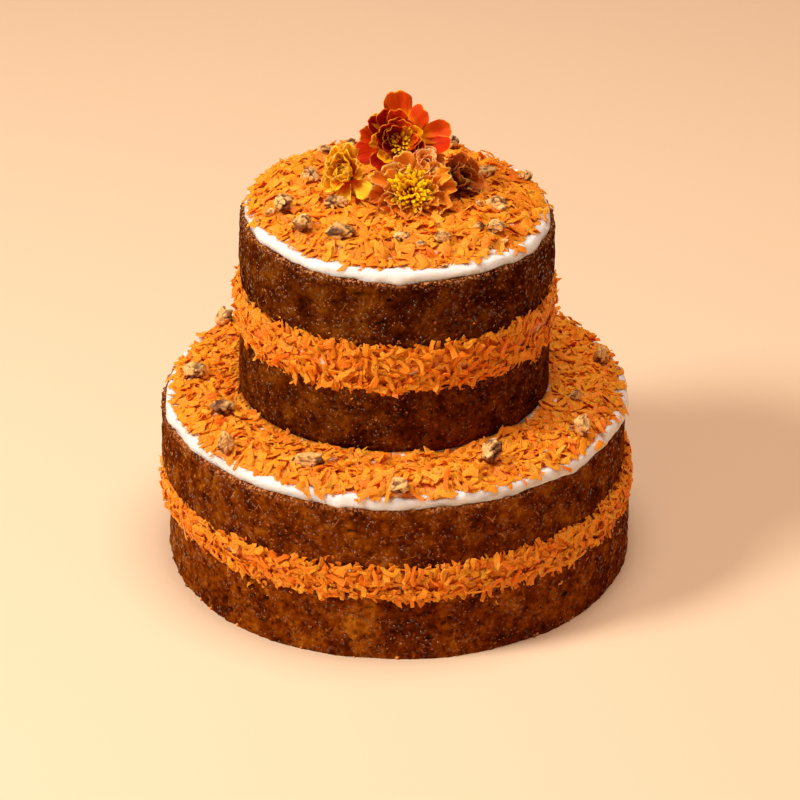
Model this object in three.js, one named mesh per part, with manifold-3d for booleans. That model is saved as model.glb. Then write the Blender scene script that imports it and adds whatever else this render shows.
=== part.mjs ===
// A two-tier carrot cake with bare sides: four moist sponges, two cream fillings pressed full of carrot shreds,
// two iced tops under beds of grated carrot, chopped walnuts, and a posy of marigolds. Millimetres, +Z up,
// origin at the centre of the flat foot of the lower tier, front of the cake at -Y.
import * as THREE from "three";
import { mergeVertices } from "three/addons/utils/BufferGeometryUtils.js";
import Module from "manifold-3d";

const wasm = await Module();
wasm.setup();

// ---- Driving dimensions ------------------------------------------------------------------------------------
const GAP = 0.3; // clearance between touching pieces
const LOWER_RADIUS = 111.5; // a sponge from a 9 inch tin, a little shrunk
const UPPER_RADIUS = 74; // a sponge from a 6 inch tin
const SPONGE_HEIGHT = 34;
const TOP_SPONGE_LOWER_HEIGHT = 32.5;
const LOWER_FILLING_HEIGHT = 13;
const UPPER_FILLING_HEIGHT = 19;
const ICING_HEIGHT = 4.2;
const ICING_INSET = 1.2; // how far the icing stops short of the sponge's wall
const CARD_HEIGHT = 3.4; // the thin card that carries the upper tier
const SHOULDER = 3.5; // radius of a sponge's rounded edges
const FOOT_FLARE = 1.4; // how far the lowest sponge spreads at its foot
const UPPER_LEAN = 0.025; // how much the topmost surface falls for each millimetre towards +X

// Beds of grated carrot: inner and outer radius, height at the rim, extra height at the centre, offset.
const LOWER_BED = { inner: 76.4, outer: 107.5, height: 2.8, crown: 0.3, x: 0, y: 0 };
const UPPER_BED = { inner: 0, outer: 68.3, height: 3.2, crown: 3, x: -0.3, y: 1.3 };
const RIM_WANDER = 2; // how far a bed's rim strays either way

// Each layer was set down by hand, a little off the axis.
const OFFSET_X = { lowerBase: 1.5, lowerTop: -1.2, upperBase: -1.2, upperTop: 0.2, upperIcing: 0.7 };

const SHRED = { length: 13, width: 3, thickness: 1.7, bend: 1.4 };
const SHRED_COUNTS = { lowerFilling: 40, upperFilling: 32, lowerBed: 36, upperBed: 28 };
const FILLING_BULGE = 3; // how far a filling swells past the sponges
const FILLING_TUCK = 1.5; // how far its edges lie back under them

const ROUND_SEGMENTS = 36;
const RELIEF = { sponge: 0.7, cream: 0.7, bed: 0.9 };

// Levels of the stack, worked out from the heights above.
const LEVEL = {};
LEVEL.lowerFilling = SPONGE_HEIGHT + GAP;
LEVEL.lowerTop = LEVEL.lowerFilling + LOWER_FILLING_HEIGHT + GAP;
LEVEL.lowerIcing = LEVEL.lowerTop + TOP_SPONGE_LOWER_HEIGHT + GAP;
LEVEL.lowerBed = LEVEL.lowerIcing + ICING_HEIGHT + GAP;
LEVEL.card = LEVEL.lowerBed;
LEVEL.upperBase = LEVEL.card + CARD_HEIGHT + GAP;
LEVEL.upperFilling = LEVEL.upperBase + SPONGE_HEIGHT + GAP;
LEVEL.upperTop = LEVEL.upperFilling + UPPER_FILLING_HEIGHT + GAP;
LEVEL.upperIcing = LEVEL.upperTop + SPONGE_HEIGHT + GAP;
LEVEL.upperBed = LEVEL.upperIcing + ICING_HEIGHT + GAP;

// ---- Materials ---------------------------------------------------------------------------------------------
const food = (color, roughness) => new THREE.MeshStandardMaterial({ color, roughness, metalness: 0 });
const MATERIAL = {
  sponge: food(0x5a2c10, 0.55),
  cream: food(0xf6efe2, 0.45),
  carrot: food(0xf08a1e, 0.5),
  card: food(0xd9d6d0, 0.6),
  walnut: food(0xa9763f, 0.65),
  redPetal: food(0xc42a0c, 0.6),
  orangePetal: food(0xe08a30, 0.6),
  goldPetal: food(0xf2a81c, 0.6),
  rustPetal: food(0x9a3c14, 0.6),
  peachPetal: food(0xe9a468, 0.6),
};

// ---- Small helpers -----------------------------------------------------------------------------------------
// A repeatable draw of numbers from 0 to 1.
function seeded(seed) {
  let state = seed >>> 0;
  return () => {
    state = (state + 0x6d2b79f5) >>> 0;
    let t = state;
    t = Math.imul(t ^ (t >>> 15), t | 1);
    t ^= t + Math.imul(t ^ (t >>> 7), t | 61);
    return ((t ^ (t >>> 14)) >>> 0) / 4294967296;
  };
}

const spread = (draw, low, high) => low + (high - low) * draw();
const clamp01 = (t) => Math.min(1, Math.max(0, t));

// Smooth lumps from -1 to 1, of about the given size across.
function lumps(x, y, z, size) {
  const [u, v, w] = [x / size, y / size, z / size];
  const first = Math.sin(2.1 * u + 1.7 * Math.sin(1.3 * v + w));
  const second = Math.sin(1.9 * v + 1.5 * Math.sin(1.1 * w - 0.8 * u) + 2);
  const third = Math.sin(2.3 * w + 1.2 * Math.sin(1.7 * u + 0.6 * v) + 4);
  return (first + second + third) / 3;
}

// The topmost sponge is thinner towards +X, and all that lies on it follows.
function leanAt(x, z) {
  const share = clamp01((z - LEVEL.upperTop) / (LEVEL.upperIcing - LEVEL.upperTop));
  return -UPPER_LEAN * x * share;
}

// A three.js geometry as a manifold solid, after an optional placing matrix.
function solidOf(geometry, matrix = new THREE.Matrix4()) {
  const bare = geometry.clone().deleteAttribute("normal").deleteAttribute("uv").applyMatrix4(matrix);
  const merged = mergeVertices(bare, 1e-4);
  return new wasm.Manifold(new wasm.Mesh({
    numProp: 3,
    vertProperties: new Float32Array(merged.attributes.position.array),
    triVerts: new Uint32Array(merged.index.array),
  }));
}

// The outer body of a fused solid: loose scraps and sealed pockets go.
function outerBody(solid) {
  const bodies = solid.decompose();
  return bodies.reduce((best, body) => (body.volume() > best.volume() ? body : best));
}

function meshOf(name, solid, material) {
  const raw = solid.getMesh();
  const geometry = new THREE.BufferGeometry()
    .setAttribute("position", new THREE.BufferAttribute(new Float32Array(raw.vertProperties), 3))
    .setIndex(new THREE.BufferAttribute(new Uint32Array(raw.triVerts), 1));
  geometry.computeVertexNormals();
  const mesh = new THREE.Mesh(geometry, material);
  mesh.name = name;
  return mesh;
}

const touches = (piece, others) => others.some((other) => piece.intersect(other).volume() > 1e-4);

// ---- Layers that are turned about the axis -----------------------------------------------------------------
// A turned solid from an outline of [radius, height] points, each point then moved by shape(point).
function turned(outline, shape, centreX = 0, centreY = 0) {
  const points = outline.map(([radius, height]) => new THREE.Vector2(radius, height));
  const lathe = new THREE.LatheGeometry(points, ROUND_SEGMENTS).rotateX(Math.PI / 2);
  const position = lathe.attributes.position;
  const point = new THREE.Vector3();
  for (let i = 0; i < position.count; i += 1) {
    point.fromBufferAttribute(position, i);
    shape(point);
    position.setXYZ(i, point.x + centreX, point.y + centreY, point.z);
  }
  for (let i = 0; i < position.count; i += 1) {
    position.setZ(i, position.getZ(i) + leanAt(position.getX(i), position.getZ(i)));
  }
  return solidOf(lathe);
}

// Pushes a wall point in or out by the relief, and leaves flat faces flat.
function roughWall(relief, size) {
  return (point) => {
    const radius = Math.hypot(point.x, point.y);
    if (radius < 1) return;
    const scale = 1 + (relief * lumps(point.x, point.y, point.z, size)) / radius;
    point.x *= scale;
    point.y *= scale;
  };
}

function sponge(radius, bottom, height, centreX, flare = 0) {
  const top = bottom + height;
  const outline = [
    [0, bottom],
    [radius - SHOULDER * 0.3 + flare, bottom],
    [radius + flare / 2, bottom + SHOULDER],
    [radius - 0.4, top - SHOULDER],
    [radius - SHOULDER * 0.6, top],
    [0, top],
  ];
  return turned(outline, roughWall(RELIEF.sponge, 22), centreX);
}

function icing(radius, bottom, centreX) {
  const edge = radius - ICING_INSET;
  const outline = [
    [0, bottom],
    [edge - 0.4, bottom],
    [edge, bottom + ICING_HEIGHT * 0.45],
    [edge - 1.6, bottom + ICING_HEIGHT],
    [0, bottom + ICING_HEIGHT],
  ];
  return turned(outline, roughWall(RELIEF.cream, 16), centreX);
}

function card() {
  const geometry = new THREE.CylinderGeometry(UPPER_RADIUS - 0.2, UPPER_RADIUS - 0.2, CARD_HEIGHT, ROUND_SEGMENTS);
  const place = new THREE.Matrix4()
    .makeTranslation(OFFSET_X.upperBase, 0, LEVEL.card + CARD_HEIGHT / 2)
    .multiply(new THREE.Matrix4().makeRotationX(Math.PI / 2));
  return solidOf(geometry, place);
}

function fillingCore(radius, bottom, height, centreX) {
  const outline = [
    [0, bottom],
    [radius - FILLING_TUCK, bottom],
    [radius + FILLING_BULGE, bottom + height / 2],
    [radius - FILLING_TUCK, bottom + height],
    [0, bottom + height],
  ];
  return turned(outline, roughWall(RELIEF.cream, 14), centreX);
}

// Height of a bed's core at a distance from its axis.
function bedTop(bed, bottom, radius) {
  const crown = bed.crown * (1 - (radius / bed.outer) ** 2);
  return bottom + bed.height + crown;
}

// A bed of grated carrot: a low core with shred-sized bumps, its rim uneven.
function bedCore(bed, bottom) {
  const rings = bed.inner > 0
    ? [bed.inner, bed.inner + 8, bed.outer - 10, bed.outer - 3]
    : [0, 18, 36, 50, bed.outer - 3];
  const upper = rings.map((radius) => [radius, bedTop(bed, bottom, radius)]);
  const outline = [[bed.inner, bottom], [bed.outer, bottom], ...upper.reverse(), [bed.inner, bottom]];
  if (bed.inner === 0) outline.pop();
  const shape = (point) => {
    const radius = Math.hypot(point.x, point.y);
    if (point.z > bottom + 1) point.z += RELIEF.bed * (lumps(point.x, point.y, 0, 6) - 0.4);
    if (radius > bed.outer - 4) {
      const scale = 1 + (RIM_WANDER * lumps(point.x, point.y, 7, 13)) / radius;
      point.x *= scale;
      point.y *= scale;
    }
  };
  return turned(outline, shape, bed.x, bed.y);
}

// ---- Carrot shreds -----------------------------------------------------------------------------------------
// One strip lying along X with its broad side up, bent once in the middle unless it is nearly straight, and
// grown by an allowance on every side.
function shredGeometry(length, width, bend, grow = 0) {
  const straight = Math.abs(bend) < SHRED.bend * 0.45;
  const sizes = [length, width, SHRED.thickness].map((size) => size + 2 * grow);
  const strip = new THREE.BoxGeometry(...sizes, straight ? 1 : 2, 1, 1);
  const position = strip.attributes.position;
  if (straight) return strip;
  for (let i = 0; i < position.count; i += 1) {
    const along = (2 * position.getX(i)) / length;
    position.setZ(i, position.getZ(i) + bend * (0.5 - along * along));
  }
  return strip;
}

// A frame at a point: its Z along facing, its X level, and turned about Z by the given angle.
function frameAt(point, facing, turn = 0) {
  const steep = Math.abs(facing.z) > 0.99;
  const level = steep ? new THREE.Vector3(1, 0, 0) : new THREE.Vector3(-facing.y, facing.x, 0).normalize();
  const rise = new THREE.Vector3().crossVectors(facing, level).normalize();
  level.crossVectors(rise, facing);
  return new THREE.Matrix4()
    .makeBasis(level, rise, facing)
    .setPosition(point)
    .multiply(new THREE.Matrix4().makeRotationZ(turn));
}

const MOST_PITCH = 0.3;
const SHRED_ATTEMPTS = 6;

// Fuses shreds to a core. spot(i, draw) gives a point, the outward normal and the most that a shred turns
// from level. One that would touch a neighbour is tried straighter and shorter, and else left out.
function withShreds(core, count, seed, spot, neighbours) {
  const draw = seeded(seed);
  const shreds = [];
  for (let i = 0; i < count; i += 1) {
    const { point, normal, swing } = spot(i, draw);
    const length = SHRED.length * spread(draw, 0.7, 1.25);
    const width = SHRED.width * spread(draw, 0.75, 1.15);
    const bend = SHRED.bend * spread(draw, -1, 1);
    const turn = spread(draw, -swing, swing);
    const pitch = spread(draw, -MOST_PITCH, MOST_PITCH);
    for (let attempt = 0; attempt < SHRED_ATTEMPTS; attempt += 1) {
      const place = frameAt(point, normal, turn * (1 - attempt / SHRED_ATTEMPTS))
        .multiply(new THREE.Matrix4().makeRotationY(pitch));
      const reach = length * (1 - 0.1 * attempt);
      const allowance = solidOf(shredGeometry(reach, width, bend, GAP), place);
      if (touches(allowance, neighbours)) continue;
      shreds.push(solidOf(shredGeometry(reach, width, bend), place));
      break;
    }
  }
  return outerBody(wasm.Manifold.union([core, ...shreds]));
}

const GOLDEN_ANGLE = Math.PI * (3 - Math.sqrt(5));

const RIM_MARGIN = 4; // from a bed's rim to the middle of its outermost shreds

// Even spots over a bed, by the sunflower rule.
function bedSpot(bed, bottom, count) {
  return (i, draw) => {
    const share = (i + 0.5) / count;
    const radius = Math.sqrt(bed.inner ** 2 + share * ((bed.outer - RIM_MARGIN) ** 2 - bed.inner ** 2));
    const angle = i * GOLDEN_ANGLE + spread(draw, -0.05, 0.05);
    const x = bed.x + radius * Math.cos(angle);
    const y = bed.y + radius * Math.sin(angle);
    const z = bedTop(bed, bottom, radius) + leanAt(x, bottom);
    return { point: new THREE.Vector3(x, y, z), normal: new THREE.Vector3(0, 0, 1), swing: Math.PI / 2 };
  };
}

// Spots round the outside of a filling, in rows one above the other.
function rimSpot(radius, bottom, height, centreX, count, rows) {
  return (i, draw) => {
    const angle = ((i + spread(draw, -0.25, 0.25)) / count) * 2 * Math.PI;
    const row = ((i % rows) + 0.5) / rows;
    const swell = 1 - Math.abs(2 * row - 1);
    const reach = radius - FILLING_TUCK + (FILLING_TUCK + FILLING_BULGE) * swell + spread(draw, 0.2, 0.7);
    const z = bottom + height * row;
    const point = new THREE.Vector3(centreX + reach * Math.cos(angle), reach * Math.sin(angle), z);
    const normal = new THREE.Vector3(Math.cos(angle), Math.sin(angle), (row - 0.5) * 0.5).normalize();
    return { point, normal, swing: 0.7 };
  };
}

// ---- Walnuts -----------------------------------------------------------------------------------------------
// Where each piece lies, [angle in degrees from +X, distance from the axis, length, width, height, turn]: the
// turn, in degrees, is of its length from +X.
const LOWER_WALNUTS = [
  [146, 102, 10, 9, 10, 70],
  [180, 97, 12, 10, 9, 20],
  [202, 89, 16, 7, 8, -40],
  [221, 105, 11, 9, 10, 80],
  [244, 93, 15, 10, 8, 5],
  [271, 107, 11, 9, 7, 150],
  [298, 93, 12, 10, 13, 60],
  [328, 102, 9, 8, 10, 110],
  [346, 88, 8, 7, 6, 30],
  [9, 100, 9, 8, 11, 95],
  [38, 90, 12, 9, 8, 15],
  [62, 94, 11, 10, 9, 120],
  [100, 92, 12, 9, 8, 50],
];
const UPPER_WALNUTS = [
  [129, 55, 8, 7, 6, 10],
  [163, 42, 10, 9, 8, 100],
  [201, 56, 10, 9, 9, 75],
  [222, 58, 10, 9, 9, 60],
  [241, 54, 14, 11, 10, -10],
  [213, 33, 11, 8, 7, 0],
  [273, 47, 8, 6, 5, 170],
  [294, 52, 8, 7, 7, 45],
  [322, 58, 9, 8, 7, 20],
  [347, 47, 13, 7, 6, 30],
  [26, 46, 11, 9, 7, -25],
  [20, 65, 7, 6, 5, 90],
  [116, 50, 9, 8, 7, 130],
  [63, 58, 9, 8, 8, 65],
];

// A chopped piece of kernel: a craggy lump with a few flat faces.
function walnutGeometry(length, width, height, seed, grow = 0) {
  const lump = mergeVertices(new THREE.IcosahedronGeometry(1, 1).deleteAttribute("normal").deleteAttribute("uv"));
  const draw = seeded(seed);
  const shift = spread(draw, 0, 40);
  const position = lump.attributes.position;
  for (let i = 0; i < position.count; i += 1) {
    const [x, y, z] = [position.getX(i), position.getY(i), position.getZ(i)];
    const crag = 1 + 0.3 * lumps(x + shift, y, z, 0.45);
    position.setXYZ(
      i,
      x * crag * (length / 2 + grow),
      y * crag * (width / 2 + grow),
      Math.max(z * crag, -0.8) * (height / 2 + grow),
    );
  }
  return lump;
}

const SETTLE_STEP = 0.25;

// Lets a piece down onto what lies under it, in small steps, until it would touch.
function settle(makeAllowance, startZ, under) {
  let z = startZ;
  while (!touches(makeAllowance(z - SETTLE_STEP), under)) z -= SETTLE_STEP;
  return z;
}

function walnuts(rows, prefix, bed, bottom, under) {
  return rows.map(([degrees, radius, length, width, height, turn], index) => {
    const angle = THREE.MathUtils.degToRad(degrees);
    const [x, y] = [radius * Math.cos(angle), radius * Math.sin(angle)];
    const seed = 100 + 7 * index + Math.round(bottom);
    const placed = (z, grow) => {
      const place = new THREE.Matrix4().makeTranslation(x, y, z)
        .multiply(new THREE.Matrix4().makeRotationZ(THREE.MathUtils.degToRad(turn)));
      return solidOf(walnutGeometry(length, width, height, seed, grow), place);
    };
    const start = bedTop(bed, bottom, radius) + leanAt(x, bottom) + height;
    const z = settle((level) => placed(level, GAP), start, under);
    return { name: `${prefix}_${String(index + 1).padStart(2, "0")}`, solid: placed(z, 0), allowance: placed(z, 2 * GAP) };
  });
}

// ---- Marigolds ---------------------------------------------------------------------------------------------
// Each flower: its material, where its heart is, the way it faces (degrees round from +X and above the
// horizon), and its petals as [angle, length, width, lift], the angle and lift in degrees, 0 to the flower's
// right and 90 to its top.
const FLOWERS = {
  marigold_orange: {
    material: "orangePetal", heart: [8, -14, 194.5], faces: [-88, 38], heartRadius: 6,
    petals: [
      [3, 19, 9, 8], [22, 19, 9, 16], [42, 17, 8, 8], [76, 16, 10, 22], [110, 17, 11, 16], [143, 16, 9, 8],
      [165, 21, 8, 14], [187, 20, 8, 4], [207, 17, 9, 12], [234, 15, 10, 4], [262, 15, 10, 10],
      [300, 16, 10, 2], [332, 18, 9, 10], [55, 11, 7, 36], [125, 11, 7, 36], [200, 10, 7, 32], [340, 10, 7, 32],
    ],
  },
  marigold_red: {
    material: "redPetal", heart: [2, 6, 210], faces: [-92, 34], heartRadius: 5,
    petals: [
      [92, 24.5, 14, 18], [52, 19, 10, 22], [15, 23, 11, 12], [-8, 25, 10, 4], [-32, 20, 11, 12], [126, 18, 9, 24],
      [150, 19, 9, 14], [173, 20, 9, 20], [199, 21, 12, 6], [231, 18, 12, 12], [268, 16, 12, 4],
      [300, 18, 12, 10], [105, 13, 9, 46], [160, 12, 9, 44], [60, 11, 6, 48],
    ],
  },
  marigold_gold: {
    material: "goldPetal", heart: [-23, -5, 199], faces: [-112, 32], heartRadius: 4.5,
    petals: [
      [88, 15, 11, 22], [130, 13, 10, 12], [40, 11, 8, 30], [-32, 15, 9, 4], [-78, 15, 7, 10], [222, 13, 8, 6],
      [178, 9, 8, 26], [5, 8, 6, 40],
    ],
  },
  marigold_rust: {
    material: "rustPetal", heart: [28, 2, 192], faces: [-50, 36], heartRadius: 4,
    petals: [
      [20, 12, 9, 14], [70, 12, 9, 22], [120, 11, 9, 14], [170, 10, 8, 10], [225, 10, 8, 4], [-85, 12, 9, 8],
      [-30, 12, 9, 16],
    ],
  },
  marigold_peach: {
    material: "peachPetal", heart: [14, -5, 202.5], faces: [-80, 42], heartRadius: 2.4,
    petals: [[20, 7, 6, 30], [75, 8, 6, 26], [120, 8, 6, 34], [175, 7, 6, 26]],
  },
};
const PETAL = { thickness: 0.9, curl: 0.35, cup: 1.6, ruffle: 2.2 };
const PETAL_STEPS = 2;
const PETAL_SHARES = [1, 0.85, 0.7, 0.55]; // lengths tried, for a petal that finds a neighbour in its way
const STALK = { radius: 2, sides: 6, calyxHeights: [9, 7, 5, 3.5, 2.5] };

// A closed wavy sheet from surface(u, v), u along and v across, both from 0 to 1.
function sheetGeometry(surface, thickness) {
  const n = PETAL_STEPS + 1;
  const grid = [];
  for (let i = 0; i < n; i += 1) {
    for (let j = 0; j < n; j += 1) grid.push(surface(i / PETAL_STEPS, j / PETAL_STEPS));
  }
  const at = (side, i, j) => side * n * n + i * n + j;
  const half = new THREE.Vector3(0, 0, thickness / 2);
  const points = [...grid.map((p) => p.clone().add(half)), ...grid.map((p) => p.clone().sub(half))];
  const faces = [];
  for (let i = 0; i < PETAL_STEPS; i += 1) {
    for (let j = 0; j < PETAL_STEPS; j += 1) {
      const corners = [[i, j], [i + 1, j], [i + 1, j + 1], [i, j + 1]];
      const [a, b, c, d] = corners.map(([p, q]) => at(0, p, q));
      const [e, f, g, h] = corners.map(([p, q]) => at(1, p, q));
      faces.push(a, b, c, a, c, d, e, g, f, e, h, g);
    }
  }
  const loop = [];
  for (let i = 0; i < PETAL_STEPS; i += 1) loop.push([i, 0]);
  for (let j = 0; j < PETAL_STEPS; j += 1) loop.push([PETAL_STEPS, j]);
  for (let i = PETAL_STEPS; i > 0; i -= 1) loop.push([i, PETAL_STEPS]);
  for (let j = PETAL_STEPS; j > 0; j -= 1) loop.push([0, j]);
  loop.forEach(([p, q], k) => {
    const [r, s] = loop[(k + 1) % loop.length];
    faces.push(at(0, p, q), at(1, p, q), at(1, r, s), at(0, p, q), at(1, r, s), at(0, r, s));
  });
  return new THREE.BufferGeometry()
    .setAttribute("position", new THREE.Float32BufferAttribute(points.flatMap((p) => [p.x, p.y, p.z]), 3))
    .setIndex(faces);
}

// One petal in the flower's own frame, which faces +Z: it leaves the heart outwards, rises by its lift,
// broadens from a narrow claw and has a wavy rim. It may be grown by an allowance on every side.
function petalGeometry({ root, length, width, lift, angle, wave }, grow = 0) {
  const surface = (u, v) => {
    const across = 2 * v - 1;
    const reach = (length + grow) * u;
    const along = root + reach * Math.cos(lift + PETAL.curl * u) - PETAL.cup * u * across * across;
    const rise = reach * Math.sin(lift + PETAL.curl * u);
    const half = (width / 2) * (0.22 + 1.3 * u - 0.52 * u * u) + grow;
    const ruffle = wave * u * (across * across * 1.6 - 0.6);
    return new THREE.Vector3(along, across * half, rise + ruffle).applyAxisAngle(FLOWER_AXIS, angle);
  };
  return sheetGeometry(surface, PETAL.thickness + 2 * grow);
}
const FLOWER_AXIS = new THREE.Vector3(0, 0, 1);

function flowerFrame({ heart, faces }) {
  const [round, above] = faces.map(THREE.MathUtils.degToRad);
  const facing = new THREE.Vector3(Math.cos(above), 0, Math.sin(above)).applyAxisAngle(FLOWER_AXIS, round);
  return frameAt(new THREE.Vector3(...heart), facing);
}

// The green cup behind a flower, narrowing to its stalk.
function calyx(flower, frame, height) {
  const cup = new THREE.CylinderGeometry(flower.heartRadius * 0.8, STALK.radius, height, STALK.sides)
    .rotateX(Math.PI / 2)
    .translate(0, 0, -height / 2);
  return solidOf(cup, frame);
}

// The upright stalk under a flower, from the narrow end of its calyx down to a level.
function stalk(frame, calyxHeight, foot) {
  const top = new THREE.Vector3(0, 0, 1 - calyxHeight).applyMatrix4(frame);
  const height = top.z - foot;
  const post = new THREE.CylinderGeometry(STALK.radius, STALK.radius, height, STALK.sides).rotateX(Math.PI / 2);
  return solidOf(post, new THREE.Matrix4().makeTranslation(top.x, top.y, foot + height / 2));
}

// Calyx and stalk together: the longest calyx and the longest stalk that stay clear of the neighbours.
function stem(flower, frame, neighbours) {
  const clear = (solid) => !touches(solid, neighbours);
  const height = STALK.calyxHeights.find((tried) => clear(calyx(flower, frame, tried + GAP)));
  if (!height) return [];
  const top = new THREE.Vector3(0, 0, 1 - height).applyMatrix4(frame);
  let foot = LEVEL.upperBed;
  while (foot < top.z - 1 && !clear(stalk(frame, height, foot - GAP))) foot += SETTLE_STEP;
  const cup = calyx(flower, frame, height);
  return foot < top.z - 1 ? [cup, stalk(frame, height, foot)] : [cup];
}

// A marigold: a round heart, its calyx and stalk, and the petals that find room between their neighbours.
function marigold(flower, seed, neighbours) {
  const draw = seeded(seed);
  const frame = flowerFrame(flower);
  const heart = new THREE.IcosahedronGeometry(flower.heartRadius * 1.1, 0).scale(1, 1, 0.7);
  const parts = [solidOf(heart, frame), ...stem(flower, frame, neighbours)];
  flower.petals.forEach(([angle, length, width, lift]) => {
    const shape = {
      root: flower.heartRadius * 0.5,
      width,
      lift: THREE.MathUtils.degToRad(lift),
      angle: THREE.MathUtils.degToRad(angle),
      wave: spread(draw, -PETAL.ruffle, PETAL.ruffle),
    };
    const share = PETAL_SHARES.find((part) => {
      const room = solidOf(petalGeometry({ ...shape, length: length * part }, GAP), frame);
      return !touches(room, neighbours);
    });
    if (share) parts.push(solidOf(petalGeometry({ ...shape, length: length * share }), frame));
  });
  return outerBody(wasm.Manifold.union(parts));
}

// ---- Putting the cake together -----------------------------------------------------------------------------
const spongeSolids = {
  lower_sponge_base: sponge(LOWER_RADIUS, 0, SPONGE_HEIGHT, OFFSET_X.lowerBase, FOOT_FLARE),
  lower_sponge_top: sponge(LOWER_RADIUS, LEVEL.lowerTop, TOP_SPONGE_LOWER_HEIGHT, OFFSET_X.lowerTop),
  upper_sponge_base: sponge(UPPER_RADIUS, LEVEL.upperBase, SPONGE_HEIGHT, OFFSET_X.upperBase),
  upper_sponge_top: sponge(UPPER_RADIUS - 0.2, LEVEL.upperTop, SPONGE_HEIGHT, OFFSET_X.upperTop),
};
const icings = {
  lower_icing: icing(LOWER_RADIUS, LEVEL.lowerIcing, 0),
  upper_icing: icing(UPPER_RADIUS, LEVEL.upperIcing, OFFSET_X.upperIcing),
};
const cardSolid = card();

const lowerBedCore = bedCore(LOWER_BED, LEVEL.lowerBed);
const upperBedCore = bedCore(UPPER_BED, LEVEL.upperBed);
const lowerNuts = walnuts(LOWER_WALNUTS, "walnut_lower", LOWER_BED, LEVEL.lowerBed, [lowerBedCore]);
const upperNuts = walnuts(UPPER_WALNUTS, "walnut_upper", UPPER_BED, LEVEL.upperBed, [upperBedCore]);

const flowers = [];
Object.entries(FLOWERS).forEach(([name, flower], index) => {
  const near = [upperBedCore, ...upperNuts.map((nut) => nut.allowance), ...flowers.map((made) => made.solid)];
  flowers.push({ name, material: flower.material, solid: marigold(flower, 31 + index, near) });
});

const lowerRim = [LOWER_RADIUS, LEVEL.lowerFilling, LOWER_FILLING_HEIGHT, 0];
const upperRim = [UPPER_RADIUS, LEVEL.upperFilling, UPPER_FILLING_HEIGHT, OFFSET_X.upperBase / 2];
const shredded = {
  lower_filling: withShreds(
    fillingCore(...lowerRim), SHRED_COUNTS.lowerFilling, 3,
    rimSpot(...lowerRim, SHRED_COUNTS.lowerFilling, 2),
    [spongeSolids.lower_sponge_base, spongeSolids.lower_sponge_top],
  ),
  upper_filling: withShreds(
    fillingCore(...upperRim), SHRED_COUNTS.upperFilling, 5,
    rimSpot(...upperRim, SHRED_COUNTS.upperFilling, 3),
    [spongeSolids.upper_sponge_base, spongeSolids.upper_sponge_top],
  ),
  lower_carrot_bed: withShreds(
    lowerBedCore, SHRED_COUNTS.lowerBed, 11,
    bedSpot(LOWER_BED, LEVEL.lowerBed, SHRED_COUNTS.lowerBed),
    [icings.lower_icing, cardSolid, spongeSolids.upper_sponge_base, ...lowerNuts.map((nut) => nut.allowance)],
  ),
  upper_carrot_bed: withShreds(
    upperBedCore, SHRED_COUNTS.upperBed, 13,
    bedSpot(UPPER_BED, LEVEL.upperBed, SHRED_COUNTS.upperBed),
    [icings.upper_icing, ...upperNuts.map((nut) => nut.allowance), ...flowers.map((made) => made.solid)],
  ),
};

const cake = new THREE.Group();
const add = (name, solid, material) => cake.add(meshOf(name, solid, MATERIAL[material]));
Object.entries(spongeSolids).forEach(([name, solid]) => add(name, solid, "sponge"));
Object.entries(icings).forEach(([name, solid]) => add(name, solid, "cream"));
Object.entries(shredded).forEach(([name, solid]) => add(name, solid, "carrot"));
[...lowerNuts, ...upperNuts].forEach(({ name, solid }) => add(name, solid, "walnut"));
flowers.forEach(({ name, solid, material }) => add(name, solid, material));
add("tier_card", cardSolid, "card");

export default cake;
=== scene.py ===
"""The look of a two-tier carrot cake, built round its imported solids.

Sponges get a pitted, strand-flecked crust, the icing gets spatula marks, grated carrot is laid shred by shred
onto height maps, and the walnuts and marigolds are modelled one by one. Sizes are in millimetres until a mesh
is made.
"""

import itertools
import math
from collections import namedtuple
from types import SimpleNamespace

import bmesh
import bpy
import numpy as np
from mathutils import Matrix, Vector
from numpy.polynomial import polynomial


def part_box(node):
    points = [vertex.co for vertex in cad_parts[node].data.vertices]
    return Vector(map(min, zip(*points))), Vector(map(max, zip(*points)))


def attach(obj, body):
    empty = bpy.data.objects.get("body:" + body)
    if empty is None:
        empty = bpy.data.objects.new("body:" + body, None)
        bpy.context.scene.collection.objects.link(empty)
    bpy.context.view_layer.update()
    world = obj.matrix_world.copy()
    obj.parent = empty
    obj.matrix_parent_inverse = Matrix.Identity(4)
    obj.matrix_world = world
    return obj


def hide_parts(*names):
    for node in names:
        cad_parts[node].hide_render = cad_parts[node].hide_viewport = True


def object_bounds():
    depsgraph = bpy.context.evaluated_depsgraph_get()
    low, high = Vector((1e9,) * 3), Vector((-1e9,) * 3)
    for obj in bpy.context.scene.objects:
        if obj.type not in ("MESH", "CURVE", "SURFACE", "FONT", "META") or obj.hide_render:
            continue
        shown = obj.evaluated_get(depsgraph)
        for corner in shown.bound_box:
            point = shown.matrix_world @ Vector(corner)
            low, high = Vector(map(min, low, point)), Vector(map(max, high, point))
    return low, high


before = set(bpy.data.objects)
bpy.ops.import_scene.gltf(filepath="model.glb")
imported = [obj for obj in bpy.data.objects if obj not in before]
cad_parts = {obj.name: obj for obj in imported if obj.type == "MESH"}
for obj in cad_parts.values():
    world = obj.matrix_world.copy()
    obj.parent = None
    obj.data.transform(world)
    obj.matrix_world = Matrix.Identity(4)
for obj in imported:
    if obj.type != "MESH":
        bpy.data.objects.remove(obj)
CAD_BOX = [list(corner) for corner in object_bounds()]

MM = 0.001
LEAN = 0.025  # how much the topmost surfaces fall for each millimetre towards +X
GOLDEN_ANGLE = math.pi * (3 - math.sqrt(5))


# ---- Numbers ----
HASH = np.array([374761393, 668265263, 1440662683])  # mixes a point's three whole numbers into one


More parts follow.
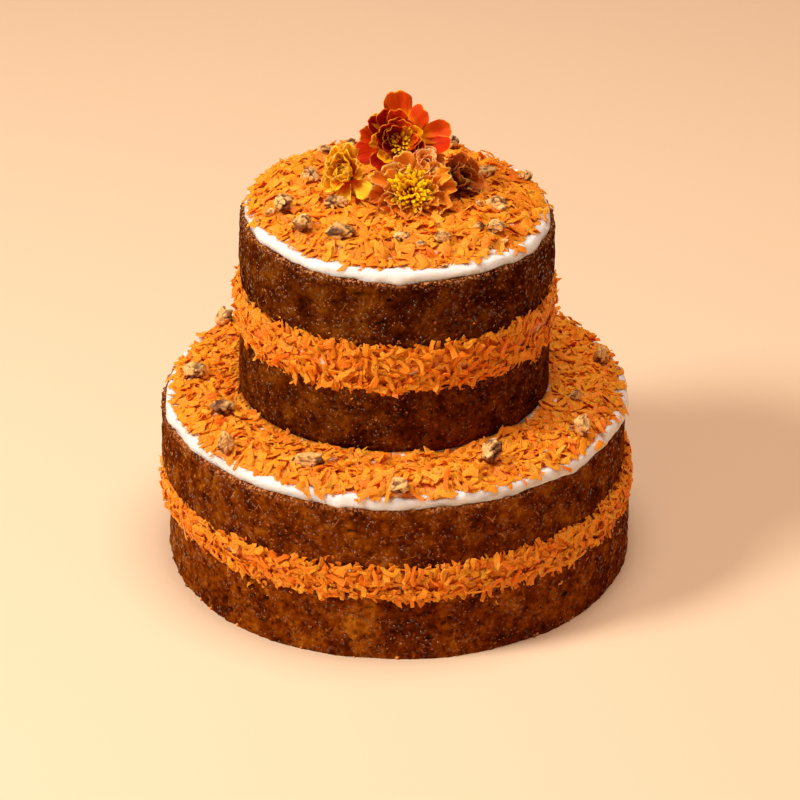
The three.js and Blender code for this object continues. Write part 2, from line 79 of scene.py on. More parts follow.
def lattice(cell, seed):
    """A repeatable number from -1 to 1 for each whole-number point of space."""
    mixed = (cell @ HASH + seed * 97531) & 0xFFFFFFFF
    mixed = ((mixed ^ (mixed >> 13)) * 1274126177) & 0xFFFFFFFF
    return (mixed ^ (mixed >> 16)) / 0x7FFFFFFF - 1


def noise(points, size, seed=0, octaves=1):
    """Smooth noise from about -1 to 1, its lumps of the given size, each further octave half as large."""
    total, weight = 0.0, 1.0
    for octave in range(octaves):
        scaled = points / (size * 0.5**octave)
        cell = np.floor(scaled).astype(np.int64)
        ease = scaled - cell
        ease = ease * ease * (3 - 2 * ease)
        for corner in itertools.product((0, 1), repeat=3):
            share = np.prod(np.where(corner, ease, 1 - ease), axis=1)
            total = total + weight * share * lattice(cell + np.array(corner), seed + octave)
        weight *= 0.5
    return total


def lumps(x, y, z, size):
    """The slow relief of the solids, from -1 to 1."""
    u, v, w = x / size, y / size, z / size
    first = np.sin(2.1 * u + 1.7 * np.sin(1.3 * v + w))
    second = np.sin(1.9 * v + 1.5 * np.sin(1.1 * w - 0.8 * u) + 2)
    third = np.sin(2.3 * w + 1.2 * np.sin(1.7 * u + 0.6 * v) + 4)
    return (first + second + third) / 3


def smooth_step(low, high, value):
    t = np.clip((value - low) / (high - low), 0, 1)
    return t * t * (3 - 2 * t)


# ---- Meshes ----
def make_piece(name, points, faces, material, slot, nodes=(), values=None):
    """A mesh piece from points in millimetres. values holds one number for each point, by attribute name."""
    mesh = bpy.data.meshes.new(name)
    mesh.from_pydata((points * MM).tolist(), [], [face for group in faces for face in group.tolist()])
    for key, numbers in (values or {}).items():
        mesh.attributes.new(key, "FLOAT", "POINT").data.foreach_set("value", numbers.astype(np.float32))
    mesh.polygons.foreach_set("use_smooth", [True] * len(mesh.polygons))
    mesh.materials.append(material)
    mesh.update()
    piece = bpy.data.objects.new(name, mesh)
    bpy.context.scene.collection.objects.link(piece)
    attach(piece, "root")
    if nodes:
        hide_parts(*nodes)
    return piece


def points_at(x, y, z):
    """Points from three coordinates, each of them an array or one number for all."""
    return np.stack(np.broadcast_arrays(x, y, z), -1).reshape(-1, 3)


def ring_angles(count):
    return 2 * math.pi * np.arange(count) / count


def ring_pairs(count):
    """Each place of a ring and the place after it."""
    here = np.arange(count)
    return here, (here + 1) % count


def ring_quads(rings, sides):
    """Quads between rings of points that lie ring by ring."""
    here, after = ring_pairs(sides)
    row = np.arange(rings - 1)[:, None] * sides
    return np.stack([row + here, row + after, row + sides + after, row + sides + here], -1).reshape(-1, 4)


def closed_tube(rings, sides):
    """Faces of a tube whose points lie ring by ring, with the tips of its first and last ring after them."""
    here, after = ring_pairs(sides)
    last, tip = (rings - 1) * sides, np.full(sides, rings * sides)
    first_cap = np.stack([after, here, tip], 1)
    last_cap = np.stack([last + here, last + after, tip + 1], 1)
    return [ring_quads(rings, sides), first_cap, last_cap]


def turned_over(faces):
    """The same faces, seen from their other side."""
    return faces[:, [1, 0, *range(faces.shape[1] - 1, 1, -1)]]


def lathe(profile, segments):
    """Points and faces of a turned solid, from [radius, height] rows that start and end on the axis."""
    rings = np.array(profile[1:-1], float)
    angle = ring_angles(segments)
    radius, height = rings[:, 0, None], rings[:, 1, None]
    walls = points_at(radius * np.cos(angle), radius * np.sin(angle), height)
    points = np.vstack([walls, [[0, 0, profile[0][1]]], [[0, 0, profile[-1][1]]]])
    return points, closed_tube(len(rings), segments)


def push_out(points, amount):
    """Moves points away from the upright axis."""
    distance = np.maximum(np.hypot(points[:, 0], points[:, 1]), 1e-6)
    points[:, :2] += points[:, :2] / distance[:, None] * amount[:, None]


def layer(node, lean=0.0):
    """A round layer's centre, radius and levels, read from its solid, at the middle of a leaning one."""
    low, high = (np.array(corner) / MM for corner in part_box(node))
    radius = float((high - low)[:2].mean() / 2)
    return SimpleNamespace(
        x=float(low[0] + high[0]) / 2, y=float(low[1] + high[1]) / 2, radius=radius,
        bottom=float(low[2]), top=float(high[2]) - lean * radius, lean=lean,
    )


# ---- Materials ----
class Finish:
    """A material's node tree, with one short call for each kind of node. Sizes are in millimetres."""

    def __init__(self, name, **surface):
        self.material = bpy.data.materials.new(name)
        self.material.use_nodes = True
        self.tree = self.material.node_tree
        self.surface = self.tree.nodes["Principled BSDF"]
        for key, value in surface.items():
            self.surface.inputs[key.replace("_", " ")].default_value = value

    def add(self, kind, inputs, output=0, **settings):
        node = self.tree.nodes.new("ShaderNode" + kind)
        for key, value in settings.items():
            setattr(node, key, value)
        for key, value in inputs.items():
            self.join(node.inputs[key], value)
        return node.outputs[output]

    def join(self, socket, value):
        if isinstance(value, bpy.types.NodeSocket):
            self.tree.links.new(value, socket)
        elif isinstance(value, tuple) and len(value) == 3 and socket.type == "RGBA":
            socket.default_value = (*value, 1)
        else:
            socket.default_value = value

    def drive(self, socket, value):
        self.join(self.surface.inputs[socket], value)

    def place(self):
        return self.add("TexCoord", {}, "Object")

    def noise(self, size, detail=2.0, rough=0.5, vector=None, distortion=0.0):
        """Noise with lumps of the given size."""
        return self.add("TexNoise", {
            "Vector": vector or self.place(), "Scale": 1 / (size * MM), "Detail": detail, "Roughness": rough,
            "Distortion": distortion,
        })

    def cells(self, size):
        """Distance from the middle of the nearest cell, as a share of the size of the cells."""
        return self.add("TexVoronoi", {"Vector": self.place(), "Scale": 1 / (size * MM)})

    def attribute(self, name):
        return self.add("Attribute", {}, "Fac", attribute_name=name)

    def ramp(self, value, *stops):
        """Colour by value, from stops of (position, colour)."""
        colour = self.add("ValToRGB", {0: value})
        elements = colour.node.color_ramp.elements
        while len(elements) < len(stops):
            elements.new(1)
        for element, (position, tone) in zip(elements, stops):
            element.position = position
            element.color = (*tone, 1)
        return colour

    def step(self, value, low, high):
        """0 below low and 1 above high, or the other way round when low is the larger."""
        return self.add("MapRange", {"Value": value, "From Min": low, "From Max": high})

    def math(self, operation, *values):
        return self.add("Math", dict(enumerate(values)), operation=operation)

    def times(self, first, second):
        return self.math("MULTIPLY", first, second)

    def plus(self, first, second):
        return self.math("ADD", first, second)

    def mix(self, share, first, second, blend="MIX"):
        return self.add("Mix", {"Factor": share, 6: first, 7: second}, 2, data_type="RGBA", blend_type=blend)

    def speckle(self, colour, cell, ends, patches, bounds, strength, tone):
        """Round specks of a tone over a colour, in patches only."""
        specks = self.times(self.step(self.cells(cell), *ends), self.step(patches, *bounds))
        return self.mix(self.times(specks, strength), colour, tone)

    def bump(self, height, depth, normal="Normal"):
        """Fine relief of the given depth."""
        self.drive(normal, self.add("Bump", {"Height": height, "Distance": depth * MM}))


# Wet drops on a crust: the cells that hold one each, their radius as a share of a cell, and their height.
DROP_SPACING, DROP_SIZE, DROP_HEIGHT = 2.6, 0.37, 0.9
# The thin strands of coconut and carrot in a crust: how they lean, and their colour.
STRANDS = ((-0.75, (0.50, 0.20, 0.04)), (0.15, (0.42, 0.12, 0.012)), (0.9, (0.50, 0.22, 0.05)))
STRAND_LENGTH, STRAND_WIDTH_SHARE = 5.5, 0.19
# How dark the pits are painted: painted shade in the crust's pockets.
PIT_PAINTED_SHADE = 0.85


def crust_finish(name, grain_depth, strands, tone):
    """Moist sponge crust: amber and near-black mottling, thin strands, specks, painted shade in its pits,
    pale flecks of painted glint, and fine glints.
    """
    finish = Finish(name, Specular_IOR_Level=0.0, Roughness=0.5, Coat_Roughness=0.15, Coat_IOR=1.5)
    broad, small = finish.noise(13, 4, 0.6), finish.noise(3.6, 3)
    patches = finish.plus(finish.times(broad, 0.7), finish.times(small, 0.3))
    colour = finish.ramp(
        patches, (0.36, (0.070, 0.0110, 0.0003)), (0.47, (0.18, 0.030, 0.0007)),
        (0.56, (0.33, 0.076, 0.0024)), (0.68, (0.54, 0.175, 0.011)),
    )
    colour = finish.mix(1.0, colour, (tone, tone, tone), "MULTIPLY")
    grain = finish.noise(2.1)
    dim = 1 - grain_depth
    shade = (0.32, (dim, dim * 0.9, dim * 0.8)), (0.44, (0.86, 0.85, 0.84)), (0.60, (1.0, 1.0, 1.0))
    colour = finish.mix(1.0, colour, finish.ramp(grain, *shade), "MULTIPLY")
    morsel_patches = finish.noise(5, 1)
    colour = finish.speckle(colour, 3.4, (0.28, 0.14), morsel_patches, (0.56, 0.62), 0.6, (0.50, 0.15, 0.012))

    wall = finish.add("UVMap", {}, uv_map="Wall")
    for number, (turn, strand_tone) in enumerate(STRANDS):
        shifted = finish.add("Mapping", {
            "Vector": wall, "Rotation": (0, 0, turn), "Scale": (1.0, STRAND_WIDTH_SHARE, 1.0),
            "Location": (number * 0.37, 0, 0),
        }, vector_type="TEXTURE")
        strand = finish.noise(STRAND_LENGTH, 1, vector=shifted, distortion=0.8)
        colour = finish.mix(finish.times(finish.step(strand, 0.71, 0.76), strands), colour, strand_tone)

    dark_patches = finish.noise(8)
    colour = finish.speckle(colour, 3.6, (0.20, 0.10), dark_patches, (0.5, 0.54), 1.0, (0.010, 0.002, 0.0005))
    # Pits painted near-black: painted shade in the pockets of the wall.
    pit_shade = finish.times(finish.attribute("pit"), PIT_PAINTED_SHADE)
    colour = finish.mix(pit_shade, colour, (0.016, 0.003, 0.0005))
    # Pale flecks in patches: painted glints.
    glint_fleck_patches = finish.noise(8, 3)
    colour = finish.speckle(colour, 1.9, (0.22, 0.12), glint_fleck_patches, (0.46, 0.58), 0.75, (0.50, 0.25, 0.14))
    # Pale crumbs in small patches at the ragged top edge: partly real crumbs, partly painted glints on the
    # shoulder.
    crumb = finish.times(finish.attribute("edge"), finish.step(finish.noise(1.1), 0.52, 0.60))
    finish.drive("Base Color", finish.mix(crumb, colour, (0.44, 0.19, 0.08)))

    dry = finish.step(finish.noise(11), 0.45, 0.35)
    drops = finish.plus(finish.cells(DROP_SPACING), dry)
    finish.drive("Coat Weight", finish.step(drops, DROP_SIZE, DROP_SIZE * 0.8))
    finish.bump(finish.step(finish.times(drops, drops), DROP_SIZE**2, 0), DROP_HEIGHT, normal="Coat Normal")
    finish.bump(finish.plus(grain, finish.noise(3.4)), 0.45 + 0.7 * grain_depth)
    return finish.material


def cream_finish():
    finish = Finish("cream", Roughness=0.42, Subsurface_Weight=1.0, Subsurface_Scale=0.007,
                    Subsurface_Radius=(1.0, 0.85, 0.7))
    white = finish.ramp(finish.noise(9, 3), (0.3, (0.80, 0.78, 0.73)), (0.7, (0.88, 0.86, 0.81)))
    finish.drive("Base Color", white)
    finish.bump(finish.noise(1.8, 4), 0.25)
    return finish.material


def stained_cream_finish():
    """Cream under the carrot: white where it shows, stained orange where juice has reached it."""
    finish = Finish("stained_cream", Roughness=0.45, Subsurface_Weight=0.2, Subsurface_Scale=0.003)
    stain = finish.step(finish.noise(5, 3), 0.36, 0.43)
    shreds = finish.noise(2.2, 3, 0.65, distortion=1.2)
    orange = finish.ramp(shreds, (0.36, (0.80, 0.15, 0.005)), (0.62, (1.0, 0.36, 0.02)))
    finish.drive("Base Color", finish.mix(stain, (0.84, 0.76, 0.62), orange))
    finish.bump(shreds, 1.2)
    return finish.material


def carrot_finish():
    finish = Finish("carrot", Roughness=0.36, Subsurface_Weight=0.6, Subsurface_Scale=0.0012,
                    Specular_IOR_Level=0.22, Subsurface_Radius=(1.0, 0.8, 0.5))
    tints = (0.0, (1.0, 0.19, 0.004)), (0.4, (1.0, 0.285, 0.008)), (1.0, (1.0, 0.38, 0.020))
    fibre = finish.noise(0.9, 3, 0.65, distortion=0.8)
    # Paler fibres: partly the carrot's own pale streaks, partly a painted highlight.
    pale = finish.times(finish.step(fibre, 0.45, 0.75), 0.35)
    tinted = finish.ramp(finish.attribute("tint"), *tints)
    finish.drive("Base Color", finish.mix(pale, tinted, (1.0, 0.42, 0.045)))
    finish.bump(fibre, 0.5)
    return finish.material


def card_finish():
    """Pale grey card with a layered edge."""
    finish = Finish("card", Roughness=0.7)
    layered = finish.add("Mapping", {"Vector": finish.place(), "Scale": (0.02, 0.02, 1)})
    layers = finish.noise(0.9, 1, vector=layered)
    finish.drive("Base Color", finish.ramp(layers, (0.42, (0.20, 0.18, 0.16)), (0.55, (0.62, 0.60, 0.57))))
    return finish.material


def walnut_finish():
    """Tan kernel with golden knobs, brown skin in patches, and painted shade in its folds."""
    finish = Finish("walnut", Roughness=0.5, Specular_IOR_Level=0.2)
    mottle = finish.noise(2.2, 5, 0.65)
    skin = (0.36, (0.050, 0.018, 0.012)), (0.50, (0.20, 0.075, 0.026)), (0.66, (0.50, 0.23, 0.07))
    meat = (0.3, (0.50, 0.22, 0.055)), (0.5, (0.80, 0.45, 0.14)), (0.70, (0.95, 0.66, 0.30))
    colour = finish.mix(finish.attribute("cut"), finish.ramp(mottle, *skin), finish.ramp(mottle, *meat))
    # Folds painted near-black: painted shade.
    colour = finish.mix(finish.times(finish.attribute("fold_shade"), 0.8), colour, (0.045, 0.016, 0.009))
    finish.drive("Base Color", colour)
    finish.bump(finish.noise(0.9, 3, 0.6), 0.4)
    return finish.material


# Each petal's colours: its heart end, partly its own deeper colour and partly painted shade, its middle from
# dark to light, painted shade to painted light with random tone between petals, and its rim, with the rim's
# share of it.
PETAL_COLOURS = {
    "red": ((0.85, 0.16, 0.004), (0.28, 0.005, 0.001), (0.56, 0.026, 0.002), (1.0, 0.36, 0.006), 0.07),
    "flame": ((1.0, 0.40, 0.004), (0.38, 0.016, 0.001), (0.68, 0.056, 0.003), (1.0, 0.42, 0.010), 0.07),
    "crimson": ((0.40, 0.02, 0.001), (0.13, 0.001, 0.0005), (0.36, 0.006, 0.001), (0.95, 0.28, 0.006), 0.07),
    "sun": ((0.80, 0.10, 0.004), (0.90, 0.24, 0.004), (1.0, 0.44, 0.004), (1.0, 0.55, 0.010), 0.15),
    "orange": ((0.36, 0.03, 0.004), (0.50, 0.08, 0.006), (0.93, 0.31, 0.022), (1.0, 0.58, 0.12), 0.15),
    "amber": ((0.60, 0.12, 0.006), (0.88, 0.30, 0.012), (1.0, 0.52, 0.030), (1.0, 0.68, 0.07), 0.20),
    "gold": ((0.80, 0.14, 0.004), (0.95, 0.31, 0.006), (1.0, 0.55, 0.018), (1.0, 0.70, 0.06), 0.18),
    # The rust flower's colours are darkened with painted shade, for the shadow it stands in.
    "rust": ((0.14, 0.014, 0.002), (0.17, 0.022, 0.002), (0.46, 0.10, 0.012), (0.80, 0.30, 0.06), 0.12),
    "peach": ((0.75, 0.16, 0.03), (0.95, 0.34, 0.09), (1.0, 0.52, 0.18), (1.0, 0.68, 0.30), 0.16),
    "floret": ((0.72, 0.15, 0.002), (0.98, 0.42, 0.002), (1.0, 0.62, 0.003), (1.0, 0.74, 0.010), 0.30),
}


def petal_finish(name):
    """A thin petal: veins along it, a body tinted from painted shade to painted light that deepens towards
    the heart in its own colour and in painted shade, and a pale rim.
    """
    heart, dark, light, rim, margin = PETAL_COLOURS[name]
    finish = Finish(name + "_petal", Roughness=0.48, Specular_IOR_Level=0.07, Subsurface_Weight=0.55,
                    Subsurface_Scale=0.0014, Subsurface_Radius=(1.0, 0.8, 0.5))
    along, across, tint = (finish.attribute(key) for key in ("along", "across", "tint"))
    drawn_out = {"X": finish.times(across, 0.010), "Y": finish.times(along, 0.002), "Z": tint}
    veins = finish.noise(1.1, 3, 0.6, vector=finish.add("CombineXYZ", drawn_out))
    body = finish.plus(finish.times(tint, 0.7), finish.times(veins, 0.6))
    # Body from dark to light by each petal's tint: painted shade and painted light, with random tone between
    # petals.
    colour = finish.mix(finish.step(body, 0.15, 1.0), dark, light)
    # Deeper towards the heart: partly the petal's own deeper base, partly painted shade.
    heart_tone_and_shade = finish.plus(finish.times(veins, 0.6), finish.step(along, 0.75, 0.05))
    colour = finish.mix(finish.step(heart_tone_and_shade, 0.5, 1.0), colour, heart)
    sides = finish.step(finish.math("ABSOLUTE", across), 1 - margin, 1.0)
    tip = finish.step(along, 1 - margin * 0.6, 1.0)
    edge = finish.math("MAXIMUM", finish.times(sides, finish.step(along, 0.25, 0.6)), tip)
    edge = finish.times(edge, finish.step(finish.noise(3.5), 0.40, 0.58))
    finish.drive("Base Color", finish.mix(edge, colour, rim))
    finish.bump(veins, 0.25)
    return finish.material


def stem_finish():
    finish = Finish("stem", Roughness=0.6)
    ribs = finish.noise(2.5, 3)
    finish.drive("Base Color", finish.ramp(ribs, (0.3, (0.015, 0.030, 0.006)), (0.7, (0.06, 0.10, 0.02))))
    finish.bump(ribs, 0.3)
    return finish.material


def crumb_finish():
    finish = Finish("crumb", Roughness=0.6)
    grain = finish.noise(0.9, 3)
    brown = finish.mix(grain, (0.13, 0.035, 0.007), (0.36, 0.13, 0.03))
    orange = finish.mix(grain, (0.75, 0.20, 0.015), (0.95, 0.42, 0.04))
    finish.drive("Base Color", finish.mix(finish.attribute("tint"), brown, orange))
    finish.bump(grain, 0.3)
    return finish.material


# ---- Sponges ----
# The lean of each one's top and the spread of its foot, then the depth of its dark grain, the strength of its
# strands and its tone.
SPONGES = {
    "lower_sponge_base": (0, 1.4, 0.60, 0.40, 0.76),
    "lower_sponge_top": (0, 0, 0.44, 0.80, 0.68),
    "upper_sponge_base": (0, 0, 0.58, 0.40, 0.42),
    "upper_sponge_top": (LEAN, 0, 0.54, 0.50, 0.40),
}
WALL_PITCH = 1.0  # between the points of a sponge's wall
WALL_INSET = 0.2  # how far it lies inside the solid's box, before its relief
SHOULDER = 3.5
RELIEF, RELIEF_SIZE = 0.7, 22  # slow relief of the wall, as in the solids
PIT_DEPTH = 1.3
EDGE_DEPTH = 3.2  # how far down from its top a wall is ragged
LEVEL = 6  # how far in from its wall a sponge's top and bottom are level


def wall_offset(points, seed):
    """How far the crust stands out, and how much of a pit each point lies in."""
    slow = RELIEF * lumps(*points.T, RELIEF_SIZE)
    rough = 0.42 * noise(points, 7, seed) + 0.34 * noise(points, 2.6, seed + 9, octaves=2)
    pocket = smooth_step(0.52, 0.80, noise(points * [1, 1, 1.5], 3.4, seed + 21))
    pocket = pocket * smooth_step(-0.1, 0.3, noise(points, 17, seed + 30))
    return slow + rough - PIT_DEPTH * pocket, pocket


def resample(corners, pitch):
    """The corners of an outline with points between them, at most pitch apart."""
    outline = [corners[0]]
    for start, end in zip(corners, corners[1:]):
        count = max(1, math.ceil(math.dist(start, end) / pitch))
        outline += [tuple(np.add(start, np.subtract(end, start) * k / count)) for k in range(1, count + 1)]
    return outline


def make_sponge(node, seed):
    lean, flare, *look = SPONGES[node]
    shape = layer(node, lean)
    radius, bottom, top = shape.radius - flare / 2 - WALL_INSET, shape.bottom, shape.top
    wall = [
        (radius - 4, bottom), (radius - SHOULDER * 0.3 + flare, bottom),
        (radius + flare / 2, bottom + SHOULDER), (radius - 0.4, top - SHOULDER),
        (radius - SHOULDER * 0.2, top - SHOULDER * 0.25), (radius - SHOULDER * 0.6, top),
        (radius - LEVEL, top),
    ]
    foot, crown = [(0, bottom), (radius * 0.6, bottom)], [(radius * 0.6, top), (0, top)]
    profile = [*foot, *resample(wall, WALL_PITCH), *crown]
    points, faces = lathe(profile, int(2 * math.pi * radius / WALL_PITCH))
    offset, pocket = wall_offset(points, seed)
    shown = smooth_step(radius - LEVEL, radius - 2.5, np.hypot(points[:, 0], points[:, 1]))
    height = points[:, 2] + 1.2 * noise(points, 5, seed + 40)
    ragged = smooth_step(top - EDGE_DEPTH, top - 0.6, height) * shown
    push_out(points, (offset + ragged * 1.1 * noise(points, 2.2, seed + 50, octaves=2)) * shown)
    points[:, 2] -= lean * points[:, 0] * np.clip((points[:, 2] - bottom) / (top - bottom), 0, 1)
    points[:, 2] = np.maximum(points[:, 2], 0 if bottom < 1 else -np.inf)
    points[:, 0] += shape.x
    material = crust_finish("crust_of_" + node, *look)
    # pit: how deep in a pocket each point lies, which the crust paints with shade; edge: how ragged it is.
    values = {"pit": pocket * shown, "edge": ragged}
    piece = make_piece("crust_" + node, points, faces, material, "sponge", [node], values)
    add_wall_map(piece, shape.x, radius)
    return piece


def add_wall_map(piece, centre_x, radius):
    """A map of the wall in metres, along it and up it, for the strands in the crust."""
    mesh = piece.data
    corners = np.empty(len(mesh.loops), np.int32)
    mesh.loops.foreach_get("vertex_index", corners)
    points = np.empty(len(mesh.vertices) * 3)
    mesh.vertices.foreach_get("co", points)
    points = points.reshape(-1, 3)
    angle = np.arctan2(points[:, 0] - centre_x * MM, -points[:, 1])[corners]
    starts = np.empty(len(mesh.polygons), np.int32)
    mesh.polygons.foreach_get("loop_start", starts)
    first = np.repeat(angle[starts], np.diff(np.append(starts, len(corners))))
    angle = first + (angle - first + math.pi) % (2 * math.pi) - math.pi
    height = points[corners, 2] + np.hypot(points[corners, 0], points[corners, 1]) - radius * MM
    wall_map = mesh.uv_layers.new(name="Wall")
    wall_map.data.foreach_set("uv", np.stack([angle * radius * MM, height], 1).ravel())


# ---- Icing ----
ICING_THICKNESS = 4.2
ICING_PITCH = 1.1  # between the points of its rim
ICING_BROW = 2.8  # width of the rounded slope at its rim
# How far its rim lies inside the solid's box, on average.
ICING_SET_IN = {"lower_icing": 0.5, "upper_icing": 1.2}
# Where it has squeezed out further: degrees round from +X, and width.
ICING_BLOBS = {"lower_icing": [(193, 7), (256, 3), (317, 6)], "upper_icing": [(272, 6), (330, 9)]}


def make_icing(node, lean, material, seed):
    """A hand-spread layer: an uneven rim, soft ridges left by the spatula, and a rounded upper edge."""
    shape = layer(node, lean)
    top, bottom = shape.top, shape.top - ICING_THICKNESS
    edge = shape.radius - ICING_SET_IN[node]
    brow = [(edge - ICING_BROW * (1 - math.cos(turn)), top - (ICING_THICKNESS - 0.5) * (1 - math.sin(turn)))
            for turn in np.linspace(0, math.pi / 2, 7)]
    rim = [(edge - 6, bottom + 0.1), (edge - 0.6, bottom - 0.1), *brow, (edge - 13, top - 0.1)]
    profile = [(0, bottom + 0.1), (edge * 0.5, bottom + 0.1), *resample(rim, ICING_PITCH), (0, top - 0.2)]
    points, faces = lathe(profile, int(2 * math.pi * edge / ICING_PITCH))
    distance = np.hypot(points[:, 0], points[:, 1])
    angle = np.arctan2(points[:, 1], points[:, 0])
    shown = smooth_step(edge - 8, edge - 2, distance)
    round_wave = points_at(np.cos(angle) * 40, np.sin(angle) * 40, seed * 10.0)
    spill = 0.5 + 0.5 * noise(round_wave, 19, seed) + 0.35 * noise(round_wave, 5, seed + 6)
    for turn, width in ICING_BLOBS[node]:
        away = (angle - math.radians(turn) + math.pi) % (2 * math.pi) - math.pi
        spill = spill + np.exp(-(away * edge / width) ** 2)
    low = np.clip(1 - (points[:, 2] - bottom) / ICING_THICKNESS, 0, 1)
    push = 0.8 * spill - 0.2 + 0.35 * noise(points * [1, 1, 3], 5, seed + 3, octaves=2)
    push = push + 0.5 * noise(points * [0.3, 0.3, 2], 2, seed + 4) + 0.7 * noise(round_wave, 8, seed + 12)
    push_out(points, push * shown)
    droop = 0.1 + 0.8 * spill + 0.7 * np.maximum(0, noise(round_wave, 2.4, seed + 9))
    points[:, 2] -= droop * low * smooth_step(edge - 4, edge - 0.5, distance)
    swell = noise(points_at(distance, angle * 30, 0), 6, seed + 8)
    dabs = noise(points * [1, 1, 0], 4, seed + 14, octaves=2)
    points[:, 2] += (0.5 * swell + 0.5 * dabs) * smooth_step(bottom + 1.5, top, points[:, 2])
    points[:, 2] -= lean * points[:, 0]
    points[:, :2] += [shape.x, shape.y]
    make_piece("spread_" + node, points, faces, material, "cream", [node])


# ---- Grated carrot ----
CELL = 0.7  # of the height maps
BLOCKED = 1e4  # height of a place where nothing may lie
STATIONS = np.linspace(-0.5, 0.5, 15)  # along a shred, where it meets the map
SLICES = np.linspace(-0.5, 0.5, 5)  # across it
RINGS = 5  # of points along a shred's mesh
CORNERS = np.array([(-0.5, 0.2), (0, 0), (0.5, 0.2), (0.4, 1), (-0.4, 1)])  # across and up, of one ring
SHRED_CREASE = math.radians(50)
STEEPEST = 0.6  # slope that a shred may take, along it and across it
MOST_BENT = 0.45  # how strongly its course may curve up or down, as a share of its length


def bowed(along):
    """How far a shred's middle line strays sideways along it, in shares of its bow: by 0 on average."""
    return 4 * along**2 - 0.33


class Pile:
    """Shreds laid one after another onto a height map of a surface, whose chart is s and t."""

    def __init__(self, s_range, t_range, base, seed, wraps=False):
        self.low = (s_range[0], t_range[0])
        self.wraps = wraps
        self.random = np.random.default_rng(seed)
        count = round((s_range[1] - s_range[0]) / CELL)
        self.cell = ((s_range[1] - s_range[0]) / count, CELL)
        self.s = s_range[0] + self.cell[0] * np.arange(count)
        self.t = np.arange(t_range[0], t_range[1], CELL)
        self.map = base(*np.meshgrid(self.s, self.t, indexing="ij"))
        self.shreds = []

    def cells(self, s, t):
        i = np.rint((s - self.low[0]) / self.cell[0]).astype(int)
        j = np.rint((t - self.low[1]) / self.cell[1]).astype(int)
        columns, rows = self.map.shape
        i = i % columns if self.wraps else np.clip(i, 0, columns - 1)
        return i, np.clip(j, 0, rows - 1)

    def block(self, s, t, radius_s, radius_t):
        """Keeps shreds out of an oval."""
        s_away, t_away = (self.s[:, None] - s) / radius_s, (self.t[None, :] - t) / radius_t
        self.map[s_away**2 + t_away**2 < 1] = BLOCKED

    def rest(self, shred):
        """Where a shred comes to rest, as a bent and tilted strip on top of what lies there, or None."""
        along = STATIONS * shred.length
        sideways = shred.bow * bowed(STATIONS)
        cos, sin = math.cos(shred.turn), math.sin(shred.turn)
        across = SLICES * shred.width
        s = shred.s + (cos * along - sin * sideways)[:, None] - sin * across
        t = shred.t + (sin * along + cos * sideways)[:, None] + cos * across
        under = self.map[self.cells(s, t)]
        if under.max() >= BLOCKED:
            return None
        tilt = np.clip((under[:, -1] - under[:, 0]).mean() / shred.width, -STEEPEST, STEEPEST) + shred.roll
        curve = polynomial.polyfit(STATIONS, under.mean(axis=1), 2)
        rise, bend = STEEPEST * shred.length, MOST_BENT * shred.length
        curve[1] = np.clip(curve[1], -rise, rise) + shred.pitch
        curve[2] = np.clip(curve[2] + shred.spring, -bend, bend)
        height = polynomial.polyval(STATIONS, curve)[:, None] + tilt * across
        lift = (under - height).max() - shred.sink
        curve[0] += lift
        return SimpleNamespace(curve=curve, tilt=tilt, s=s, t=t, height=height + lift)

    def lay(self, count, spot, size, choices=4, goal=None):
        """Lays shreds, each at the lowest of a few spots. size(random) draws a shred's own measures."""
        for _ in range(count):
            best, best_rest, best_level = None, None, math.inf
            shred = size(self.random)
            for _ in range(choices):
                s, t, turn = spot(self.random)
                tried = SimpleNamespace(**shred, s=s, t=t, turn=turn)
                found = self.rest(tried)
                if found is None:
                    continue
                level = found.curve[0] - (goal(s, t) if goal else 0)
                if level < best_level:
                    best, best_rest, best_level = tried, found, level
            if best is None:
                continue
            cells = self.cells(best_rest.s, best_rest.t)
            np.maximum.at(self.map, cells, best_rest.height + best.thickness)
            best.curve, best.tilt = best_rest.curve, best_rest.tilt
            self.shreds.append(best)

    def measures(self):
        """Every measure of the shreds, each as an array of one number for each shred."""
        table = {key: [getattr(shred, key) for shred in self.shreds] for key in vars(self.shreds[0])}
        curve = np.array(table.pop("curve"))
        table = {key: np.array(column)[:, None, None] for key, column in table.items()}
        level, slope, bend = curve.T[:, :, None, None]
        return SimpleNamespace(**table, level=level, slope=slope, bend=bend)

    def make(self, node, embed, material):
        """One piece of every shred, embed(s, t, height) giving the places of its corners."""
        form, count = self.measures(), len(self.shreds)
        along = np.linspace(-0.5, 0.5, RINGS)[None, :, None]
        across, up = CORNERS[:, 0], CORNERS[:, 1]
        end = np.abs(2 * along)
        frayed = self.random.normal(0, 0.17, (count, RINGS, 1))
        strayed = self.random.normal(0, 0.10, (count, RINGS, 1))
        width = form.width * (1 - form.taper * end**4) * (1 + form.swell * np.sin(7 * along) + frayed)
        sideways = (across + strayed) * width + form.bow * bowed(along)
        slant = form.slant * across * np.sign(along) * smooth_step(0.6, 1, end)
        reach = along * form.length + slant
        height = form.level + form.slope * along + form.bend * along**2
        height = height + form.tilt * across * width + form.cup * (4 * across**2) * (1 - end**2)
        height = height + form.twist * 2 * along * across * width
        height = height + form.curl * smooth_step(0.1, 0.5, along * form.curl_end)
        thickness = form.thickness * (1 - 0.3 * end**3)
        height = height + up * thickness + 0.2 * self.random.normal(0, 1, (count, RINGS, 1)) * thickness
        s = form.s + np.cos(form.turn) * reach - np.sin(form.turn) * sideways
        t = form.t + np.sin(form.turn) * reach + np.cos(form.turn) * sideways
        tints = np.repeat(form.tint, RINGS * len(CORNERS))
        faces = tube_faces(count, RINGS, len(CORNERS))
        points = embed(s, t, height)
        piece = make_piece("shreds_" + node, points, faces, material, "carrot", [node], {"tint": tints})
        piece.data.set_sharp_from_angle(angle=SHRED_CREASE)


